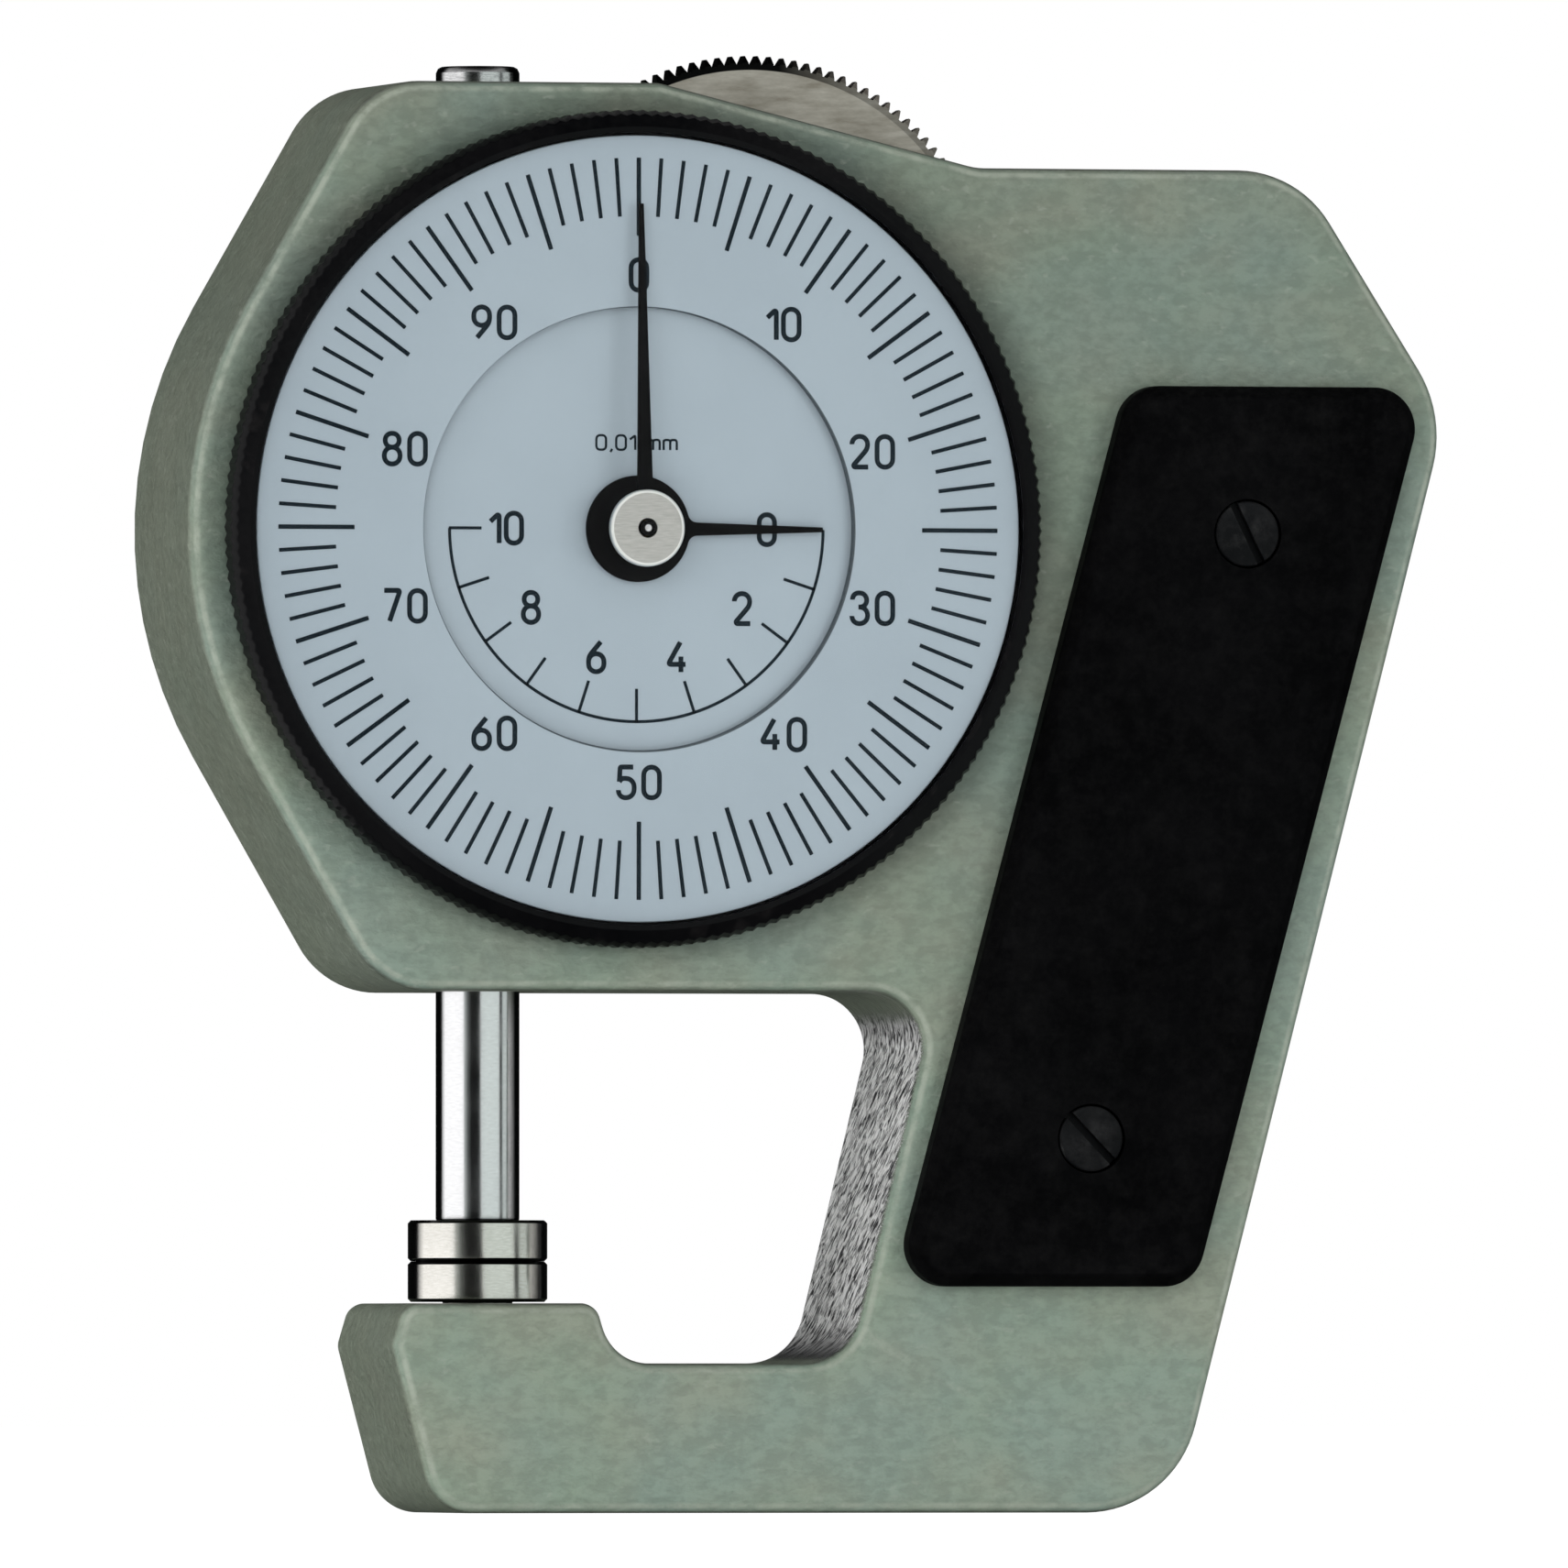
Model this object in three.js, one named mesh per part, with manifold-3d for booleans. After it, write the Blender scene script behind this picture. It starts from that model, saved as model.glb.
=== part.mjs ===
// A dial thickness gauge: a cast C-shaped frame with two flat measuring contacts, a spindle that a toothed
// thumb wheel lifts, and a geared movement behind a turning dial.
// Millimetres. X runs to the right along the throat, Y from the dial to the back, and Z up.
// The dial axis stands at x = 0, the frame's mid plane at y = 0 and its foot at z = 0.
import * as THREE from "three";
import { mergeVertices } from "three/addons/utils/BufferGeometryUtils.js";
import Module from "manifold-3d";

// Faceting, clearances and cuts
const facetError = 0.08;
const fewestSides = 12;
const weldDistance = 0.0001;
const overrun = 2;
const seatGap = 0.1;
const runningGap = 0.15;

// Measuring contacts and spindle
const spindleOffset = 8.9;
const spindleRadius = 3;
const contactRadius = 5;
const contactHeight = 2.9;
const contactChamfer = 0.22;
const contactStemRadius = 2.5;
const contactStemLength = 7;
const studRadius = 1.25;
const studLength = 5;
const closedGap = 0.05;
const capRise = 1.1;
const capHeight = 2.4;
const capChamfer = 0.5;
const bushRadius = 4;
const bushRecess = 0.2;
const lowerBushLength = 8.4;
const upperBushLength = 7;

// Frame casting
const frameThickness = 18;
const edgeRound = 1.3;
const edgeSteps = 2;
const housingWall = 2.35;
const flankAngle = Math.PI / 6;
const undersideMargin = 0.7;
const topMargin = 0.3;
const topCorner = 6.3;
const topRunout = 2.5;
const topRunoutRound = 3;
const shoulderDrop = 5.9;
const shoulderStart = 26;
const shoulderFillet = 5;
const shoulderTuck = 11.06;
const shoulderRound = 8;
const handleLean = THREE.MathUtils.degToRad(14.435);
const handleEdgeDrop = 17.5;
const handleRound = 9;
const heelTuck = 0.9;
const heelRound = 8.3;
const toeTuck = 2.25;
const toeRound = 3.5;
const armTipBulge = 0.9;
const armTipDrop = 3;
const armTipMargin = 2.5;
const armHeight = 15;
const armCorner = 1.4;
const armStepMargin = 1.7;
const armStepRun = 1.3;
const armStepDrop = 4.3;
const armStepFillet = 3.6;
const throatWall = 2.95;
const throatFootFillet = 4.3;
const throatLean = THREE.MathUtils.degToRad(13.732);
const throatHeight = 22.3;
const throatHeadFillet = 4;
const undersideCorner = 6.5;

// Movement chamber
const seatLedge = 0.9;
const plateSink = 2.8;
const neckWall = 1;
const neckHeight = 1.4;
const snapGroove = 0.3;
const snapWidth = 0.5;
const snapRise = 0.55;
const snapOpening = 0.12;
const lugInset = 1.8;
const lugRadius = 2.4;
const lugLength = 2.8;
const lugAngles = [0, 138, 222].map(THREE.MathUtils.degToRad);
const coverOverlap = 3;
const coverThickness = 1.2;
const coverScrewInset = 1.35;
const coverScrewAngles = [45, 135, 225, 315].map(THREE.MathUtils.degToRad);

// Grip plates
const gripThickness = 2.3;
const gripBevel = 0.8;
const gripCorner = 3;
const gripWidth = 22.2;
const gripFootRise = 1.2;
const gripBezelGap = 2.735;
const gripRise = 1.9;
const gripLean = THREE.MathUtils.degToRad(14.993);
const gripScrewInset = 10.6;
const gripScrewShift = 0.3;
const gripScrewHead = 2.35;
const gripScrewHeadHeight = 1.5;
const gripScrewRadius = 1.5;
const gripScrewLength = 7;
const gripScrewSlot = 0.75;
const upperSlotAngle = THREE.MathUtils.degToRad(64);
const lowerSlotAngle = THREE.MathUtils.degToRad(46);

// Small screws of the movement and the rear cover
const smallScrewHead = 1.3;
const smallScrewHeadHeight = 0.8;
const smallScrewRadius = 0.7;
const smallScrewLength = 2.2;
const smallScrewSlot = 0.4;

// Gear teeth, as shares of the module or of the pitch
const pressureAngle = THREE.MathUtils.degToRad(20);
const addendumShare = 0.9;
const dedendumShare = 1.2;
const toothThicknessShare = 0.42;
const flankShares = [0.55, 1];

// Thumb wheel and its rack
const thumbModule = 0.3;
const thumbTeeth = 118;
const thumbInset = 9;
const thumbThickness = 1.6;
const thumbSideGap = 0.5;
const thumbRimWidth = 4.6;
const thumbWebThickness = 0.9;
const thumbHubRadius = 3;
const thumbFlat = 0.33;
const axleRadius = 1.5;

// Gear train of the movement: ten millimetres of stroke turn the first arbor once
const travel = 10;
const rackPinionTeeth = 16;
const rackPinionLength = 2.6;
const movementFlat = 0.4;
const firstWheelTeeth = 100;
const centrePinionTeeth = 10;
const hairWheelTeeth = 60;
const hourPinionTeeth = 16;
const hourWheelTeeth = 32;
const trainThickness = 0.6;
const hourThickness = 0.8;
const arborRadius = 0.6;
const centreArborRadius = 0.55;
const tubeRadius = 1.2;
const tubeBoreRadius = 0.75;

// Movement plates, pillars, springs and posts
const plateThickness = 1.2;
const rearPlateInset = 0.4;
const rearPlateClearance = 1;
const layerGap = 0.8;
const pillarRadius = 1.3;
const pillarSpigotRadius = 0.8;
const pillarInset = 2.4;
const pillarAngles = [126, 234, 328].map(THREE.MathUtils.degToRad);
const postRadius = 0.8;
const postGap = 2.3;
const postInset = 2.5;
const postEnd = 1.6;
const springPinDrop = 7;
const springPinTip = 2.2;
const springPinInset = 1;
const springWire = 0.2;
const springCoilRadius = 1;
const springTurns = 9;
const springSteps = 8;
const springSides = 5;
const hairspringTurns = 3.5;
const hairspringSteps = 12;
const hairspringInner = 1.7;
const hairspringOuter = 5.6;
const hairspringThickness = 0.16;
const hairspringHeight = 0.5;
const colletRadius = 1.4;
const studPinRadius = 0.5;

// Dials, pointers, bezel and crystal
const innerDialRise = 2;
const innerDialThickness = 0.4;
const innerDialGap = 0.3;
const innerDialSkirt = 0.6;
const innerDialBore = 2;
const outerDialRise = 2.7;
const outerDialThickness = 0.5;
const outerDialRadius = 28.1;
const outerDialShelf = 0.7;
const outerDialBore = 15.8;
const smallPointerRise = 2.6;
const smallPointerThickness = 0.35;
const smallPointerLength = 13.6;
const smallPointerHub = 3.8;
const smallPointerFillet = 1.1;
const smallPointerRoot = 1.2;
const pointerTipWidth = 0.3;
const mainPointerRise = 4.6;
const mainPointerThickness = 0.25;
const mainPointerLength = 23.2;
const mainPointerHub = 2.4;
const mainPointerRoot = 1.15;
const mainPointerDrop = 1.1;
const bossRadius = 2.75;
const bossFlange = 0.6;
const bossBarrelRadius = 1.3;
const bossLength = 1.8;
const arborEndRise = 0.1;
const bezelWall = 1.65;
const bezelLift = 0.3;
const bezelGap = 0.2;
const bezelRise = 3.4;
const bezelLipWidth = 0.5;
const bezelChamfer = 0.9;
const knurlCount = 206;
const knurlDepth = 0.28;
const knurlMargin = 0.2;
const crystalRise = 7;
const crystalThickness = 1;
const crystalSteps = 4;

// Places worked out from the sizes above
const bezelOpening = outerDialRadius + bezelGap;
const bezelRadius = bezelOpening + bezelWall;
const bezelBore = outerDialRadius - outerDialShelf;
const neckRadius = bezelBore - bezelGap;
const plateSeatRadius = neckRadius - neckWall;
const innerDialRadius = plateSeatRadius - innerDialGap;
const chamberRadius = plateSeatRadius - seatLedge;
const lugCircle = chamberRadius - lugInset;
const pillarCircle = chamberRadius - pillarInset;
const rearPlateRadius = chamberRadius - rearPlateInset;
const coverRadius = chamberRadius + coverOverlap;
const coverScrewCircle = coverRadius - coverScrewInset;
const housingRadius = bezelRadius + housingWall;
const armTopEnd = spindleOffset + contactRadius + armTipMargin;
const armTip = armTopEnd + armTipBulge;
const armTipHeight = armHeight - armTipDrop;
const toeEnd = armTopEnd - toeTuck;
const armStepTop = spindleOffset - contactRadius - armStepMargin;
const armStepFoot = armStepTop - armStepRun;
const throatFloor = armHeight - armStepDrop;
const undersideHeight = armHeight + throatHeight;
const dialHeight = undersideHeight + housingRadius + undersideMargin;
const topHeight = dialHeight + housingRadius - topMargin;
const shoulderHeight = topHeight - shoulderDrop;
const handleEdgeHeight = shoulderHeight - handleEdgeDrop;
const gripFoot = armHeight + gripFootRise;
const gripHead = handleEdgeHeight + gripRise;
const gripFootStart =
  (bezelRadius + gripBezelGap) / Math.cos(gripLean) - (dialHeight - gripFoot) * Math.tan(gripLean);
const gripHeadStart = gripFootStart + (gripHead - gripFoot) * Math.tan(gripLean);
const heelEnd = gripFootStart + gripWidth - heelTuck;
const handleEdge = heelEnd + handleEdgeHeight * Math.tan(handleLean);
const shoulderEnd = handleEdge - shoulderTuck;
const throatFoot = gripFootStart - throatWall;
const throatHead = throatFoot + (undersideHeight - throatFloor) * Math.tan(throatLean);
const thumbHeight = dialHeight + chamberRadius - thumbInset;
const postHeight = dialHeight - chamberRadius + postInset;
const springPinHeight = dialHeight - springPinDrop;
const frontFace = -frameThickness / 2;
const backFace = frameThickness / 2;
const neckFront = frontFace - neckHeight;
const frontPlateBack = frontFace + plateSink;
const frontPlateFront = frontPlateBack - plateThickness;
const plateLedge = frontPlateBack + seatGap;
const rearPlateFront = spindleRadius + rearPlateClearance;
const rearPlateBack = rearPlateFront + plateThickness;
const coverFront = backFace - coverThickness;
const coverLedge = coverFront - seatGap;
const firstWheelFront = frontPlateBack + layerGap;
const hairWheelFront = firstWheelFront + trainThickness + layerGap / 2;
const hairspringFront = hairWheelFront + trainThickness + layerGap / 2;
const hourWheelBack = frontPlateFront - layerGap;
const hourWheelFront = hourWheelBack - hourThickness;
const innerDialFront = frontFace - innerDialRise;
const outerDialFront = frontFace - outerDialRise;
const smallPointerFront = frontFace - smallPointerRise;
const mainPointerFront = frontFace - mainPointerRise;
const bossFront = mainPointerFront - seatGap - bossFlange;
const gaugeHeight = armHeight + seatGap + contactHeight;
const spindleFoot = gaugeHeight + closedGap + contactHeight + seatGap;
const spindleTop = topHeight + capRise - capHeight;
const spindleX = -spindleOffset;
const postX = spindleX + spindleRadius + postGap;
const thumbPitchRadius = (thumbTeeth * thumbModule) / 2;
const thumbRackLine = spindleRadius - thumbFlat - addendumShare * thumbModule;
const thumbX = spindleX + thumbRackLine + thumbPitchRadius;
const rackPinionRadius = travel / (2 * Math.PI);
const rackModule = (2 * rackPinionRadius) / rackPinionTeeth;
const movementRackLine = spindleRadius - movementFlat - addendumShare * rackModule;
const firstArborX = spindleX - movementRackLine - rackPinionRadius;
const trainModule = (-2 * firstArborX) / (firstWheelTeeth + centrePinionTeeth);
const hourModule = (-2 * firstArborX) / (hourPinionTeeth + hourWheelTeeth);
const hairDirection = (-3 * Math.PI) / centrePinionTeeth;
const hairDistance = (trainModule * (hairWheelTeeth + centrePinionTeeth)) / 2;
const hairX = hairDistance * Math.cos(hairDirection);
const hairZ = dialHeight + hairDistance * Math.sin(hairDirection);

const wasm = await Module();
wasm.setup();

// Steps that an arc needs so that its chords stay within the facet error
function arcSteps(radius, sweep) {
  const stepAngle = 2 * Math.acos(1 - Math.min(1, facetError / radius));
  return Math.max(1, Math.ceil(Math.abs(sweep) / stepAngle - Number.EPSILON));
}

// Sides of a full circle, a multiple of four
function roundSides(radius) {
  return Math.max(fewestSides, 4 * Math.ceil(arcSteps(radius, 2 * Math.PI) / 4));
}

// A closed geometry as a solid that can be joined and cut
function solid(geometry) {
  geometry.deleteAttribute("normal");
  geometry.deleteAttribute("uv");
  const merged = mergeVertices(geometry, weldDistance);
  return new wasm.Manifold(
    new wasm.Mesh({
      numProp: 3,
      vertProperties: merged.attributes.position.array,
      triVerts: new Uint32Array(merged.index.array),
    }),
  );
}

// A solid as a geometry again
function geometryOf(body) {
  const mesh = body.getMesh();
  const geometry = new THREE.BufferGeometry();
  geometry.setAttribute("position", new THREE.BufferAttribute(mesh.vertProperties, 3));
  geometry.setIndex(new THREE.BufferAttribute(mesh.triVerts, 1));
  geometry.computeVertexNormals();
  return geometry;
}

// A profile of [radius, y] pairs turned round the Y axis, closed on itself where it is off the axis
function turned(profile, sides) {
  const points = profile.map(([radius, y]) => new THREE.Vector2(radius, y));
  if (THREE.ShapeUtils.area(points) < 0) points.reverse();
  if (points[0].x > 0 || points.at(-1).x > 0) points.push(points[0].clone());
  const widest = Math.max(...profile.map(([radius]) => radius));
  return solid(new THREE.LatheGeometry(points, sides ?? roundSides(widest)));
}

// A profile of [radius, z] pairs turned round the Z axis
function turnedUpright(profile, sides) {
  return turned(profile, sides).rotate([90, 0, 0]);
}

// A cylinder round the Y axis between two depths
function roundBar(radius, from, to, sides) {
  return turned([[0, from], [radius, from], [radius, to], [0, to]], sides);
}

// A cylinder round the Z axis between two heights
function uprightBar(radius, from, to, sides) {
  return turnedUpright([[0, from], [radius, from], [radius, to], [0, to]], sides);
}

// A ring round the Y axis
function roundRing(inner, outer, from, to, sides) {
  return turned([[inner, from], [outer, from], [outer, to], [inner, to]], sides);
}

// An outline in X and Z given a thickness from one depth to another
function slab(shape, front, back) {
  const geometry = new THREE.ExtrudeGeometry(shape, { depth: back - front, bevelEnabled: false });
  return solid(geometry.rotateX(Math.PI / 2).translate(0, back, 0));
}

// The same, with its front and back edges rounded by the given radius
function roundedSlab(shape, front, back, round, steps) {
  const geometry = new THREE.ExtrudeGeometry(shape, {
    depth: back - front - 2 * round,
    bevelThickness: round,
    bevelSize: round,
    bevelOffset: -round,
    bevelSegments: steps,
  });
  return solid(geometry.rotateX(Math.PI / 2).translate(0, back - round, 0));
}

// Points of an outline whose corners are [x, z, fillet radius]
function filletedPoints(corners) {
  const at = (i) => new THREE.Vector2(...corners.at(i % corners.length));
  return corners.flatMap(([x, z, radius], i) => {
    const corner = new THREE.Vector2(x, z);
    if (radius === 0) return [corner];
    const back = at(i - 1).sub(corner).normalize();
    const ahead = at(i + 1).sub(corner).normalize();
    const halfAngle = Math.acos(back.dot(ahead)) / 2;
    const middle = back.clone().add(ahead).normalize();
    const centre = corner.clone().addScaledVector(middle, radius / Math.sin(halfAngle));
    const start = corner.clone().addScaledVector(back, radius / Math.tan(halfAngle)).sub(centre);
    const sweep = Math.sign(ahead.cross(back)) * (Math.PI - 2 * halfAngle);
    const steps = arcSteps(radius, sweep);
    return Array.from({ length: steps + 1 }, (_, k) =>
      start.clone().rotateAround(new THREE.Vector2(), (sweep * k) / steps).add(centre),
    );
  });
}

// A round outline or hole
function circlePoints(x, z, radius, sides = roundSides(radius)) {
  return Array.from({ length: sides }, (_, k) => {
    const angle = (2 * Math.PI * k) / sides;
    return new THREE.Vector2(x + radius * Math.cos(angle), z + radius * Math.sin(angle));
  });
}

// A shape from its outline and its round holes, each [x, z, radius]
function plate(points, holes = []) {
  const shape = new THREE.Shape(points);
  shape.holes = holes.map(([x, z, radius]) => new THREE.Path(circlePoints(x, z, radius)));
  return shape;
}

// Places on a circle about the dial axis
function roundPlaces(radius, angles) {
  return angles.map((angle) => [radius * Math.cos(angle), radius * Math.sin(angle)]);
}

// A named piece in its place
function piece(name, body, material, x = 0, z = 0) {
  const mesh = new THREE.Mesh(geometryOf(body), material);
  mesh.name = name;
  mesh.position.set(x, 0, z);
  return mesh;
}

function finish(color, roughness, metalness) {
  return new THREE.MeshStandardMaterial({ color, roughness, metalness });
}

const hammerPaint = finish(0x7f8d7c, 0.45, 0.1);
const blackPlastic = finish(0x141414, 0.55, 0);
const blackMetal = finish(0x1a1a1b, 0.4, 0.4);
const blackenedSteel = finish(0x202124, 0.45, 0.7);
const groundSteel = finish(0xb8bab8, 0.2, 1);
const brass = finish(0xb89a52, 0.35, 1);
const springSteel = finish(0x8d9096, 0.3, 1);
const dialPaint = finish(0xb0bcc5, 0.6, 0);
const pointerBlack = finish(0x0c0c0c, 0.5, 0);
const clearCrystal = new THREE.MeshStandardMaterial({
  color: 0xf2f5f5,
  roughness: 0.05,
  metalness: 0,
  transparent: true,
  opacity: 0.25,
});

// Corners of the frame's outline: housing at the left, handle at the right, arm at the foot
function frameOutline() {
  const tangentX = (height) =>
    -(housingRadius + Math.abs(height - dialHeight) * -Math.sin(flankAngle)) / Math.cos(flankAngle);
  return new THREE.Shape(
    filletedPoints([
      [-toeEnd, 0, toeRound],
      [heelEnd, 0, heelRound],
      [handleEdge, handleEdgeHeight, handleRound],
      [shoulderEnd, shoulderHeight, shoulderRound],
      [shoulderStart, shoulderHeight, shoulderFillet],
      [topRunout, topHeight, topRunoutRound],
      [tangentX(topHeight), topHeight, topCorner],
      [-housingRadius / Math.cos(flankAngle), dialHeight, housingRadius],
      [tangentX(undersideHeight), undersideHeight, undersideCorner],
      [throatHead, undersideHeight, throatHeadFillet],
      [throatFoot, throatFloor, throatFootFillet],
      [-armStepFoot, throatFloor, armStepFillet],
      [-armStepTop, armHeight, armCorner],
      [-armTopEnd, armHeight, armCorner],
      [-armTip, armTipHeight, armCorner],
    ]),
  );
}

// The hollow for the movement, with its seats for the front plate and the rear cover
function chamber() {
  return turned([
    [0, neckFront - overrun],
    [plateSeatRadius, neckFront - overrun],
    [plateSeatRadius, plateLedge],
    [chamberRadius, plateLedge],
    [chamberRadius, coverLedge],
    [coverRadius + runningGap, coverLedge],
    [coverRadius + runningGap, backFace + overrun],
    [0, backFace + overrun],
  ]).translate([0, 0, dialHeight]);
}

// The ring that the bezel turns on, with the groove of its snap ring
function neck() {
  const grooveBack = frontFace - snapRise;
  const grooveFront = grooveBack - snapWidth - 2 * seatGap;
  return turned([
    [chamberRadius, frontFace + overrun],
    [neckRadius, frontFace + overrun],
    [neckRadius, grooveBack],
    [neckRadius - snapGroove, grooveBack],
    [neckRadius - snapGroove, grooveFront],
    [neckRadius, grooveFront],
    [neckRadius, neckFront],
    [chamberRadius, neckFront],
  ]).translate([0, 0, dialHeight]);
}

// Where the grip screws stand: on the grip's leaning middle line, by its two ends
function gripScrewPlaces() {
  const middleX = (height) =>
    gripFootStart + (height - gripFoot) * Math.tan(gripLean) + gripWidth / 2 + gripScrewShift;
  const upper = gripHead - gripScrewInset;
  const lower = gripFoot + gripScrewInset;
  return [
    ["upper", middleX(upper), upper, upperSlotAngle],
    ["lower", middleX(lower), lower, lowerSlotAngle],
  ];
}

function frameBody() {
  let body = roundedSlab(frameOutline(), frontFace, backFace, edgeRound, edgeSteps).add(neck()).subtract(chamber());
  for (const [x, z] of roundPlaces(lugCircle, lugAngles)) {
    const lug = roundBar(lugRadius, plateLedge, plateLedge + lugLength);
    const hole = roundBar(smallScrewRadius + seatGap, plateLedge - overrun, plateLedge + lugLength + overrun);
    body = body.add(lug.translate([x, 0, dialHeight + z])).subtract(hole.translate([x, 0, dialHeight + z]));
  }
  const boreRadius = bushRadius + seatGap;
  const wallHeight = Math.sqrt(chamberRadius ** 2 - (spindleOffset + boreRadius) ** 2) - overrun;
  const lowerBore = uprightBar(boreRadius, undersideHeight - overrun, dialHeight - wallHeight);
  const upperBore = uprightBar(boreRadius, dialHeight + wallHeight, topHeight + overrun);
  const stemHole = uprightBar(
    contactStemRadius + seatGap,
    armHeight - contactStemLength - seatGap,
    armHeight + overrun,
  );
  for (const bore of [lowerBore, upperBore, stemHole]) body = body.subtract(bore.translate([spindleX, 0, 0]));
  const slotHalf = thumbThickness / 2 + thumbSideGap;
  const slotRadius = thumbPitchRadius + thumbModule + thumbSideGap;
  body = body.subtract(roundBar(slotRadius, -slotHalf, slotHalf).translate([thumbX, 0, thumbHeight]));
  for (const [, x, z] of gripScrewPlaces())
    for (const side of [-1, 1]) {
      const hole = roundBar(
        gripScrewRadius + seatGap,
        side * (backFace - gripScrewLength),
        side * (backFace + overrun),
      );
      body = body.subtract(hole.translate([x, 0, z]));
    }
  for (const [x, z] of roundPlaces(coverScrewCircle, coverScrewAngles)) {
    const hole = roundBar(
      smallScrewRadius + seatGap,
      coverLedge - smallScrewLength - seatGap,
      coverLedge + overrun,
    );
    body = body.subtract(hole.translate([x, 0, dialHeight + z]));
  }
  return body;
}

// A slotted screw round the Y axis: the head's flat is at y = 0 and its shank runs towards +Y
function slottedScrew(headRadius, headHeight, radius, length, slotWidth) {
  const body = turned([
    [0, 0],
    [headRadius, 0],
    [headRadius, headHeight],
    [radius, headHeight],
    [radius, headHeight + length],
    [0, headHeight + length],
  ]);
  const slot = new THREE.BoxGeometry(2 * (headRadius + overrun), headHeight, slotWidth);
  return body.subtract(solid(slot));
}

function screwPiece(name, body, material, x, y, z) {
  const mesh = piece(name, body, material, x, z);
  mesh.position.y = y;
  return mesh;
}

// One grip plate, bevelled on its outer side, with a counterbored hole for each screw
function gripBody() {
  const points = filletedPoints([
    [gripFootStart, gripFoot, gripCorner],
    [gripFootStart + gripWidth, gripFoot, gripCorner],
    [gripHeadStart + gripWidth, gripHead, gripCorner],
    [gripHeadStart, gripHead, gripCorner],
  ]);
  const back = frontFace - seatGap;
  const front = back - gripThickness;
  const span = gripHead + gripWidth + gripHeadStart;
  const behind = new THREE.BoxGeometry(2 * span, overrun, 2 * span).translate(0, back + overrun / 2, 0);
  let body = roundedSlab(new THREE.Shape(points), front, back + gripBevel, gripBevel, 1).subtract(solid(behind));
  for (const [, x, z] of gripScrewPlaces()) {
    const bore = turned([
      [0, front - overrun],
      [gripScrewHead + runningGap, front - overrun],
      [gripScrewHead + runningGap, front + gripScrewHeadHeight + seatGap],
      [gripScrewRadius + runningGap, front + gripScrewHeadHeight + seatGap],
      [gripScrewRadius + runningGap, back + overrun],
      [0, back + overrun],
    ]);
    body = body.subtract(bore.translate([x, 0, z]));
  }
  return body;
}

// The frame with its grips, rear cover and their screws
function casing() {
  const group = new THREE.Group();
  group.add(piece("frame", frameBody(), hammerPaint));

  const cover = roundBar(coverRadius, coverFront, backFace);
  const screwPlaces = roundPlaces(coverScrewCircle, coverScrewAngles);
  const drilled = screwPlaces.reduce((body, [x, z]) => {
    const bore = turned([
      [0, coverFront - overrun],
      [smallScrewRadius + runningGap, coverFront - overrun],
      [smallScrewRadius + runningGap, backFace - smallScrewHeadHeight - seatGap],
      [smallScrewHead + runningGap, backFace - smallScrewHeadHeight - seatGap],
      [smallScrewHead + runningGap, backFace + overrun],
      [0, backFace + overrun],
    ]);
    return body.subtract(bore.translate([x, 0, z]));
  }, cover);
  group.add(piece("rear_cover", drilled, blackMetal, 0, dialHeight));
  const coverScrew = slottedScrew(
    smallScrewHead,
    smallScrewHeadHeight,
    smallScrewRadius,
    smallScrewLength,
    smallScrewSlot,
  );
  screwPlaces.forEach(([x, z], i) => {
    const mesh = screwPiece(`cover_screw_${i + 1}`, coverScrew, blackenedSteel, x, backFace, dialHeight + z);
    mesh.rotation.x = Math.PI;
    group.add(mesh);
  });

  const grip = gripBody();
  group.add(piece("front_grip", grip, blackPlastic));
  group.add(piece("rear_grip", grip.mirror([0, 1, 0]), blackPlastic));
  const gripScrew = slottedScrew(
    gripScrewHead,
    gripScrewHeadHeight,
    gripScrewRadius,
    gripScrewLength,
    gripScrewSlot,
  );
  const outer = backFace + seatGap + gripThickness;
  for (const [place, x, z, angle] of gripScrewPlaces()) {
    const front = screwPiece(`front_grip_screw_${place}`, gripScrew, blackenedSteel, x, -outer, z);
    front.rotation.y = angle;
    const rear = screwPiece(`rear_grip_screw_${place}`, gripScrew, blackenedSteel, x, outer, z);
    rear.rotation.set(Math.PI, angle, 0);
    group.add(front, rear);
  }
  return group;
}

// The fixed contact in the arm and the two bushes that guide the spindle
function anvilAndGuides() {
  const group = new THREE.Group();
  group.position.x = spindleX;
  const seat = armHeight + seatGap;
  const lowerContact = turnedUpright([
    [0, armHeight - contactStemLength],
    [contactStemRadius, armHeight - contactStemLength],
    [contactStemRadius, seat],
    [contactRadius - contactChamfer, seat],
    [contactRadius, seat + contactChamfer],
    [contactRadius, gaugeHeight - contactChamfer],
    [contactRadius - contactChamfer, gaugeHeight],
    [0, gaugeHeight],
  ]);
  const bushSleeve = (foot, length) =>
    turnedUpright([
      [spindleRadius + runningGap, foot],
      [bushRadius, foot],
      [bushRadius, foot + length],
      [spindleRadius + runningGap, foot + length],
    ]);
  const upperFoot = topHeight - bushRecess - upperBushLength;
  group.add(piece("lower_contact", lowerContact, groundSteel));
  group.add(piece("lower_guide_bush", bushSleeve(undersideHeight + bushRecess, lowerBushLength), brass));
  group.add(piece("upper_guide_bush", bushSleeve(upperFoot, upperBushLength), brass));
  return group;
}

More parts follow.
